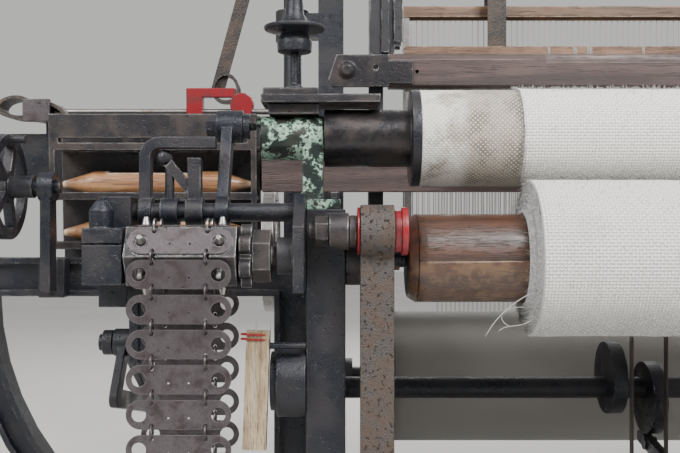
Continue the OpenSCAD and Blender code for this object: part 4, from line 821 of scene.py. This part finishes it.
vertices, faces, maps = [], [], []
for k, (y, z) in enumerate(side_view):
    out = outward(k, y, z)
    for c in range(COLUMNS + 1):
        t = 2 * c / COLUMNS - 1
        x = CLOTH_HALF * t
        ripple = 0.00035 * (1 + noise.noise(Vector((x * 14, lengths[k] * 9, 0.3)))) * 0.5
        slack = max(0.0, abs(t) - SELVEDGE) / (1 - SELVEDGE)
        ripple += 0.0012 * slack * (0.5 + 0.5 * sin(lengths[k] * 260 + 3 * t))
        x += slack * 0.0009 * noise.noise(Vector((lengths[k] * 120, t, 1.7)))
        vertices.append((x, y + ripple * out.y, z + ripple * out.z))
for k in range(len(side_view) - 1):
    for c in range(COLUMNS):
        a = k * (COLUMNS + 1) + c
        faces.append((a, a + COLUMNS + 1, a + COLUMNS + 2, a + 1))
        u = [CLOTH_HALF * (2 * (c + d) / COLUMNS - 1) for d in (0, 1)]
        v = lengths[k:k + 2]
        maps += [(u[0], v[0]), (u[0], v[1]), (u[1], v[1]), (u[1], v[0])]
canvas_sheet = mesh_piece("canvas_sheet", vertices, faces, maps)
canvas_sheet.data.shade_smooth()
place(canvas_sheet, "frame", "cloth", canvas)
thick = canvas_sheet.modifiers.new("thickness", "SOLIDIFY")
thick.thickness = THICKNESS
thick.offset = 0.0
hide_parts("cloth")

# %% [markdown]
# ## Frayed selvedge
# The cut weft ends stick out past the outer warp thread as a fuzzy line. Each is a short bent
# thread, rooted in the sheet's edge. A nap of shorter fibres covers the face of the sheet.

# %% Selvedge and nap
HALF_THICK = THICKNESS / 2
fuzz = []
for side in (-1, 1):
    for _ in range(620):
        k = random.randrange(2, len(side_view) - 1)
        y, z = side_view[k]
        out = outward(k, y, z)
        reach = random.choice((0.002, 0.003, 0.003, 0.0045, 0.007))
        lift = random.uniform(-0.0002, 0.0022)
        drift = random.uniform(-0.002, 0.002)
        root = Vector((side * (CLOTH_HALF - 0.001), y, z)) + HALF_THICK * out
        middle = root + lift * out + Vector((side * reach * 0.55, -drift * out.z, drift * out.y))
        fuzz.append([root, middle, root + 2 * lift * out + Vector((side * reach, 0, 0))])
selvedge = strands("selvedge_fringe", fuzz, FUZZ_R, sides=3)
place(selvedge, "frame", "cloth", yarn)
nap = []
for _ in range(5200):
    k = random.choice((random.randrange(2, len(side_view) - 1), random.randrange(20, 34)))
    t = random.random()
    y, z = (side_view[k][i] * (1 - t) + side_view[k + 1][i] * t for i in (0, 1))
    out = outward(k, y, z)
    nap.append((Vector((random.uniform(-CLOTH_HALF, CLOTH_HALF), y, z)) + HALF_THICK * out, out))
canvas_nap = stubble("canvas_nap", nap)
place(canvas_nap, "frame", "cloth", yarn)
print("fringe threads", len(fuzz))

# %% [markdown]
# ## Fillet on the take-up roller
# The bare ends of the roller show its covering: a strip of coarse grey-beige fabric wound on side by
# side, with a seam between turns. Towards the roller's ends it is worn white in patches. The
# dimples are real relief here, 3.2 mm apart, and the rest of the roller stays the frame's iron.

# %% Fillet finish
DIMPLE = 0.0032
fillet, tree, shader = new_material("fillet", Roughness=0.88, Sheen_Weight=0.2)
threads = use(tree, weave, Yarn=DIMPLE, Slub=0.35)
raised = between(threads["Dot"], 0.15, 0.75)
sunk = between(threads["Dot"], -0.55, -0.85)
toward_end = between(calc("ABSOLUTE", own_axis(tree, 0)), 0.427, 0.450)
white_wear = times(toward_end, patches(tree, 0.040, 0.36, 0.56, 7.0))
worn_tint = painted((0.62, 0.60, 0.55), (sunk, (0.27, 0.25, 0.22)))
feed(shader, Base_Color=painted(
    (0.30, 0.265, 0.215), (patches(tree, 0.035, 0.42, 0.66), (0.150, 0.128, 0.105)),
    (raised, (0.56, 0.52, 0.45)), (white_wear, worn_tint),
    (patches(tree, 0.0045, 0.66, 0.72, 4.0), (0.05, 0.045, 0.04))))
raise_bumps(shader, times_plus(threads["Dot"], 0.6, threads["Height"]), 0.0006)
print("finish", fillet.name)

# %% Fillet
STRIP = 0.046
SEAM_HALF = 0.0012
ROLL_R = 0.0655
SIDES = ((-1, "left"), (1, "right"))
BARE_FROM, BARE_TO = 0.345, 0.4948


def fillet_relief(x, angle, radius, start):
    """Dimples in diagonal rows, and a groove at the seam between the strip's turns."""
    arc = angle * radius
    turn = (x + 0.004 + STRIP * angle / (2 * pi)) / STRIP
    seam = abs(turn - round(turn)) * STRIP
    groove = -0.0007 * max(0.0, 1 - seam / SEAM_HALF)
    dimple = 0.00038 * sin(pi * (x - start) / DIMPLE) * sin(pi * arc / DIMPLE)
    return -0.0004 + dimple + groove + 0.0002 * noise.noise(Vector((x * 90, arc * 90, 2.0)))


def along_x(x0, x1, step):
    """Places from x0 to x1 about a step apart."""
    count = max(2, int(round(abs(x1 - x0) / step)))
    return [x0 + (x1 - x0) * k / count for k in range(count + 1)]


for side, name in SIDES:
    xs = along_x(*sorted((side * BARE_FROM, side * BARE_TO)), 0.0016)
    cover = turned("fillet_" + name, [(x, ROLL_R) for x in xs], ROLL, 264,
                   lambda x, angle, radius: fillet_relief(x, angle, radius, xs[0]))
    cover.data.shade_smooth()
    place(cover, "takeup_roller", "roller_cover", fillet)
print("fillet faces", len(cover.data.polygons))

# %% [markdown]
# ## Cloth roll
# The woven cloth is wound on a wooden roller. The roll's ends show every layer, pushed in and out a
# little, and the edges fray. Its side is not quite round: each turn lies over the last one's slack.

# %% Wound roll
WOOD_R = 0.0575
WOUND_R = 0.103
WOUND_HALF = 0.357
LAYERS = 30
random.seed(11)
end_steps = [random.uniform(-0.0016, 0.0016) for _ in range(LAYERS + 1)]


def roll_swell(x, angle, radius):
    """Slack in the outer turns, and soft bands along the roll."""
    if radius < WOUND_R - 0.004:
        return 0.0006 * noise.noise(Vector((radius * 900, cos(angle) * 2, sin(angle) * 2)))
    slack = 0.0011 * noise.noise(Vector((x * 7, cos(angle) * 1.1, sin(angle) * 1.1 + 5)))
    return -0.0016 + slack + 0.0005 * noise.noise(Vector((x * 40, cos(angle) * 5, sin(angle) * 5)))


def roll_end(t):
    """How far out the roll reaches, from its wood at t = 0 to its rim at t = 1."""
    return WOUND_HALF + 0.009 * (1 - t) ** 1.3


def end_profile(side):
    """From the wood out to the roll's rim: every layer is a small step."""
    points = []
    for k in range(LAYERS + 1):
        t = k / LAYERS
        r = WOOD_R + 0.0012 + (WOUND_R - 0.003 - WOOD_R) * t
        x = roll_end(t) + end_steps[k if side < 0 else LAYERS - k]
        points.append((side * x, r))
        if k < LAYERS:
            points.append((side * (x - 0.0011), r + 0.0005))
    return points


profile = end_profile(-1) + [(x, WOUND_R) for x in along_x(-WOUND_HALF + 0.001, WOUND_HALF - 0.001, 0.012)]
profile += reversed(end_profile(1))
wound = turned("wound_cloth", profile, CLOTH_ROLL, 160, roll_swell)
wound.data.shade_smooth()
place(wound, "cloth_roller", "cloth", wound_canvas, frayed)
for face in wound.data.polygons:
    face.material_index = int(abs(face.center.x) > WOUND_HALF - 0.0012)
print("layers", LAYERS)

# %% Roll fringe and nap
BEND = ((0, 0, 0), (0.6, 1, 1), (1, 1.5, 2))
fuzz = []
for side in (-1, 1):
    for _ in range(1500):
        t = random.random() ** 0.7
        r = WOOD_R + 0.002 + (WOUND_R - 0.004 - WOOD_R) * t
        a = random.uniform(0, 2 * pi)
        x = side * (roll_end(t) - 0.001)
        reach = side * random.choice((0.0025, 0.004, 0.004, 0.006, 0.009))
        turn = random.uniform(-0.05, 0.05)
        lift = random.uniform(-0.001, 0.0025)
        fuzz.append([ring_point(CLOTH_ROLL, x + reach * i, r + lift * j, a + turn * k) for i, j, k in BEND])
place(strands("roll_fringe", fuzz, FUZZ_R, sides=3), "cloth_roller", "cloth", yarn)
nap = []
for _ in range(5200):
    a = random.uniform(0, 2 * pi)
    x = random.uniform(-WOUND_HALF, WOUND_HALF)
    root = Vector(ring_point(CLOTH_ROLL, x, WOUND_R + roll_swell(x, a, WOUND_R), a))
    nap.append((root, Vector((0, cos(a), sin(a)))))
place(stubble("roll_nap", nap), "cloth_roller", "cloth", yarn)
print("fringe threads", len(fuzz))

# %% [markdown]
# ## Wooden roller and gudgeons
# The cloth's wooden roller is bare at both ends. The wood has dried and split along its length, so
# its radius dips sharply along one line. Of the frame's own roller only the outer ends are kept:
# their rings take the same wood, and their gudgeons are iron.

# %% Wooden roller
CRACK = radians(180.5)
CRACK_HALF = 0.026
WOOD_END = 0.5035
WOOD_RING = 0.040
COVER_END = 0.4935
SHAFT_R = 0.0395


def dry_wood(x, angle, radius):
    """A crack along the roller and slight flats from wear."""
    off = (angle - CRACK - 0.03 * sin(x * 9) + pi) % (2 * pi) - pi
    crack = -0.0030 * max(0.0, 1 - abs(off) / CRACK_HALF)
    return -0.0004 + crack + 0.0005 * noise.noise(Vector((x * 5, cos(angle) * 2, sin(angle) * 2)))


for side, name in SIDES:
    ends = [(x, WOOD_R) for x in (0.345, *along_x(0.36, 0.5025, 0.012))]
    ends += [(0.5032, WOOD_R - 0.001), (0.5040, WOOD_R - 0.003)]
    wood = turned("wooden_roller_" + name, [(side * x, r) for x, r in ends][::side], CLOTH_ROLL, 256, dry_wood)
    for face in wood.data.polygons:
        face.use_smooth = len(face.vertices) == 4
    place(wood, "cloth_roller", "wood", roller_wood)
rounded_copy("cloth_roller", dark_iron, 0.0028, [(roller_wood, lambda p: from_axis(p, CLOTH_ROLL) > WOOD_RING)],
             skip=lambda p: abs(p.x) < WOOD_END)
rounded_copy("takeup_roller", dark_iron, 0.0012, [(oily_steel, lambda p: from_axis(p, ROLL) < SHAFT_R)],
             skip=lambda p: abs(p.x) < COVER_END)
print("cloth roller and take-up roller ready")

# %% [markdown]
# ## Warp
# Two sheets of warp threads run from the cloth's fell through the reed and the healds, over the back
# rest and down to the beam. Each thread is its own thin tube, in the same gaps of the reed as the
# solids.

# %% Warp threads
REED_PITCH = 0.011
REED_HALF = 0.495
GAPS = 90
THREADS = 5
THREAD_STEP = 0.0009
THREAD_R = 0.00034
REST_Y, REST_Z, REST_R = 0.556, 0.888, 0.0284
BEAM_Y, BEAM_Z, WARP_R = 0.465, 0.400, 0.1508


def straight(x, start, end, steps):
    """Places at x in equal steps between two (y, z)."""
    return [(x, *(a + (b - a) * k / steps for a, b in zip(start, end))) for k in range(steps + 1)]


def warp_lines(first, eye, part):
    """Thread paths of one heald: part 0 is from the fell to the eye, part 1 from the eye to the beam."""
    lines = []
    for gap in range(first, GAPS, 2):
        middle = -REED_HALF + (gap + 0.5) * REED_PITCH
        if abs(middle) > CLOTH_HALF - 0.0044:
            continue
        for j in range(THREADS):
            x = middle + (j - (THREADS - 1) / 2) * THREAD_STEP + random.uniform(-0.0001, 0.0001)
            if part == 0:
                lines.append(straight(x, (fell[0] + 0.001, fell[1] - 0.001), (eye[0] + 0.001, eye[1]), 10))
                continue
            line = straight(x, eye, (REST_Y, REST_Z + REST_R), 12)
            line += [(x, REST_Y + REST_R * cos(radians(a)), REST_Z + REST_R * sin(radians(a)))
                     for a in range(75, -1, -15)]
            lines.append([*line, (x, BEAM_Y + WARP_R, BEAM_Z + 0.020)])
    return lines


count = 0
for node, body, first in (("warp_front", "heald_front", 0), ("warp_rear", "heald_rear", 1)):
    low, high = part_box(body)
    y, z = (low.y + high.y) / 2, (low.z + high.z) / 2
    for part, ending, still_y in ((0, "_threads", fell[0]), (1, "_rear_threads", REST_Y)):
        lines = warp_lines(first, (y, z), part)
        piece = strands(node + ending, lines, THREAD_R)
        place(piece, None, "warp", yarn)
        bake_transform(piece)
        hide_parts(node)
    count += len(lines)
print("warp threads", count)

# %% [markdown]
# ## More pieces with two finishes
# Each wooden picking stick is held in an iron socket, and the warp beam is wound with yarn between
# iron flanges. The reed, the brake rope and the heald straps have one finish each.

# %% Mixed pieces
SOCKET_X, SOCKET_Y, SOCKET_R = 0.697, 0.135, 0.05
FLANGE_FROM = 0.482
for side, name in SIDES:
    rounded_copy("picking_stick_" + name, stick_wood, 0.0015,
                 [(dark_iron, lambda p: hypot(p.x - side * SOCKET_X, p.y - SOCKET_Y) < SOCKET_R)])
rounded_copy("reed", used_steel, 0.0)
rounded_copy("warp_beam", yarn, 0.0015, [(dark_iron, lambda p: abs(p.x) > FLANGE_FROM)])
rounded_copy("brake_rope", rope, 0.001)
rounded_copy("heald_straps", leather, 0.0005)

# %% [markdown]
# ## Threads that came loose
# Three weft ends hang from the left edge of the roll, where the cloth was cut and sewn on. A thread
# this thin keeps the curl of the shuttle's bobbin, so each one is a smooth drooping curve.

# %% Loose threads
def bezier(points, count):
    """Evenly numbered places on one smooth curve through four guide points."""
    a, b, c, d = (Vector(p) for p in points)
    ts = [k / (count - 1) for k in range(count)]
    return [(1 - t) ** 3 * a + 3 * t * (1 - t) ** 2 * b + 3 * t * t * (1 - t) * c + t ** 3 * d for t in ts]


loose = [
    bezier([(-0.360, -0.606, 0.672), (-0.385, -0.618, 0.664), (-0.412, -0.622, 0.646), (-0.426, -0.618, 0.617)], 22),
    bezier([(-0.362, -0.590, 0.648), (-0.395, -0.602, 0.657), (-0.418, -0.606, 0.640), (-0.395, -0.604, 0.628)], 20),
    bezier([(-0.360, -0.596, 0.640), (-0.380, -0.606, 0.622), (-0.398, -0.610, 0.634), (-0.408, -0.606, 0.622)], 18),
]
place(strands("loose_threads", loose, 0.0006, sides=6), "cloth_roller", "cloth", yarn)
print("loose threads", len(loose))

# %% [markdown]
# ## Healds
# A heald frame is two wooden staves with iron end rods, and the heald wires stand between them.
# Worn cotton wraps make the wires look white. Twine is wound round the staves where a tie was
# mended: each tie is a few turns close together, with a short loose end.

# %% Healds and twine
STAVE = 0.030
STAVE_HALF_Z = 0.014
WIRES_TO = 0.462
TWINE_R = 0.0011
TWINE_PITCH = 0.0026
TAIL = 0.03


def wound_tie(name, middle, half_y, half_z, turns):
    """A few turns of twine round a bar along X, with one loose end."""
    points = []
    steps = turns * 20
    for k in range(steps + 1):
        a = 2 * pi * k / 20
        squeeze = max(abs(cos(a)), abs(sin(a))) ** 0.6
        along = (k / steps - 0.5) * turns * TWINE_PITCH + 0.0006 * sin(a * 3)
        around = (half_y + TWINE_R) * cos(a) / squeeze, (half_z + TWINE_R) * sin(a) / squeeze
        points.append(Vector(middle) + Vector((along, *around)))
    last = points[-1]
    for k in range(1, 9):
        t = k / 8
        points.append(last + Vector((0.006 * t, 0.002 * sin(3 * t) + 0.004 * t, -TAIL * t * t)))
    return strands(name, [points], TWINE_R, sides=6)


def in_opening(point, low, high):
    """Whether a point of a heald lies between its two staves."""
    return low.z + STAVE < point.z < high.z - STAVE


for node in ("heald_front", "heald_rear"):
    low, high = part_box(node)
    rounded_copy(node, stave_wood, 0.0,
                 [(yarn, lambda p: in_opening(p, low, high) and abs(p.x) < WIRES_TO),
                  (used_steel, lambda p: in_opening(p, low, high) and abs(p.x) >= WIRES_TO)])
low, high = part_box("heald_front")
stave_y, stave_half = (low.y + high.y) / 2, (high.y - low.y) / 2
tied = (-0.202, -0.152, -0.124, -0.021, 0.180, 0.330)
for k, x in enumerate(tied):
    tie = wound_tie("twine_%d" % k, (x, stave_y, high.z - STAVE_HALF_Z), stave_half, STAVE_HALF_Z, 2 + k % 3)
    place(tie, "heald_front", "warp", yarn)
print("ties", len(tied))

# %% [markdown]
# ## Red cord on the wooden strip
# Somebody tied the loose wooden strip beside the cards with red cord, in two turns. Each is a ring
# of cord, a little oblique, so that it lies as if it were wound on by hand.

# %% Red cord
STRIP_EDGE = -0.6943
CIRCLE = [2 * pi * k / 40 for k in range(41)]
red_cord, tree, shader = new_material("red_cord", Roughness=0.85)
tone = patches(tree, 0.003, 0.35, 0.65)
feed(shader, Base_Color=painted((0.42, 0.022, 0.025), (tone, (0.20, 0.012, 0.014))))
rounded_copy("wooden_strip", strip_wood, 0.0008, [(dark_iron, lambda p: p.x > STRIP_EDGE)])
low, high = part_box("wooden_strip")
middle = low.y + 0.0038
for k, height in enumerate((0.607, 0.613)):
    turn = [(-0.7095 + 0.0165 * cos(a), middle + 0.0052 * sin(a), height + 0.0018 * sin(a / 2)) for a in CIRCLE]
    place(strands("red_tie_%d" % k, [turn], 0.0013, sides=6), "frame", "red_paint", red_cord)
print("red ties", 2)

# %% [markdown]
# ## Leather at the picker
# Each picker is pulled by a leather strap that is looped round it and goes up to the picking stick.
# At the outer end of the spindle a folded leather buffer, held by a small steel plate, stops the
# picker. A flat band swept along a smooth path makes both.

# %% Leather bands
def smooth_path(points, per=10):
    """A Catmull-Rom curve through the points."""
    places = []
    last = len(points) - 1
    for k in range(last):
        p0, p1, p2, p3 = (Vector(points[n]) for n in (max(k - 1, 0), k, k + 1, min(k + 2, last)))
        for t in (j / per for j in range(per)):
            places.append(0.5 * (2 * p1 + (p2 - p0) * t + (2 * p0 - 5 * p1 + 4 * p2 - p3) * t * t
                                 + (3 * p1 - p0 - 3 * p2 + p3) * t ** 3))
    return [*places, Vector(points[-1])]


ACROSS = Vector((0, 1, 0))
SECTION = ((-0.5, -0.5), (-0.42, -0.62), (0.42, -0.62), (0.5, -0.5),
           (0.5, 0.5), (0.42, 0.62), (-0.42, 0.62), (-0.5, 0.5))


def band(name, path, width, thick, closed=False):
    """A flat strap along a path: its width lies along Y, its thickness at right angles to that and to the path."""
    vertices = []
    count = len(path)
    for k, p in enumerate(path):
        ahead = path[(k + 1) % count] if closed else path[min(k + 1, count - 1)]
        behind = path[k - 1] if closed or k else path[0]
        out = (ahead - behind).normalized().cross(ACROSS).normalized()
        for a, b in SECTION:
            wobble = 0.0004 * noise.noise(p * 60 + Vector((a * 4, b, 0)))
            vertices.append(p + ACROSS * (a * width + wobble) + out * (b * thick + wobble))
    return even_shading(mesh_piece(name, vertices, tube_faces(0, count, len(SECTION), closed)), 60)


def rounded_plate(name, low, high):
    """A small plate with rounded edges, between two corners."""
    bm = bmesh.new()
    bmesh.ops.create_cube(bm, size=1.0)
    for v in bm.verts:
        v.co = Vector((low[i] + (v.co[i] + 0.5) * (high[i] - low[i])) for i in range(3))
    bmesh.ops.bevel(bm, geom=bm.edges[:], offset=0.0014, segments=3, profile=0.6, affect="EDGES")
    mesh = bpy.data.meshes.new(name)
    bm.to_mesh(mesh)
    bm.free()
    return even_shading(bpy.data.objects.new(name, mesh), 50)

# %% Strap loops and buffers
PICKER_Y = -0.1275
BUFFER = ((1.062, 0.921), (1.072, 0.944), (1.095, 0.9585), (1.122, 0.9600), (1.150, 0.9700),
          (1.176, 0.9640), (1.184, 0.9480), (1.160, 0.9370), (1.128, 0.9350), (1.100, 0.9300))
for side, name in SIDES:
    loop = [Vector((side * 0.7985 + 0.0215 * cos(a), PICKER_Y, 0.986 + 0.0235 * sin(a) - 0.002 * cos(2 * a)))
            for a in CIRCLE[:-1]]
    place(band("strap_loop_" + name, loop, 0.024, 0.0045, closed=True), "picker_" + name, "leather", leather)
    fold = smooth_path([(side * x, PICKER_Y - 0.004, z) for x, z in BUFFER])
    place(band("buffer_" + name, fold, 0.050, 0.0055), "sley", "leather", leather)
    x0, x1 = sorted((side * 1.139, side * 1.093))
    plate = rounded_plate("buffer_plate_" + name, (x0, PICKER_Y - 0.0365, 0.928), (x1, PICKER_Y - 0.0290, 0.966))
    place(plate, "sley", "steel", card_steel)
print("leather pieces", 4)
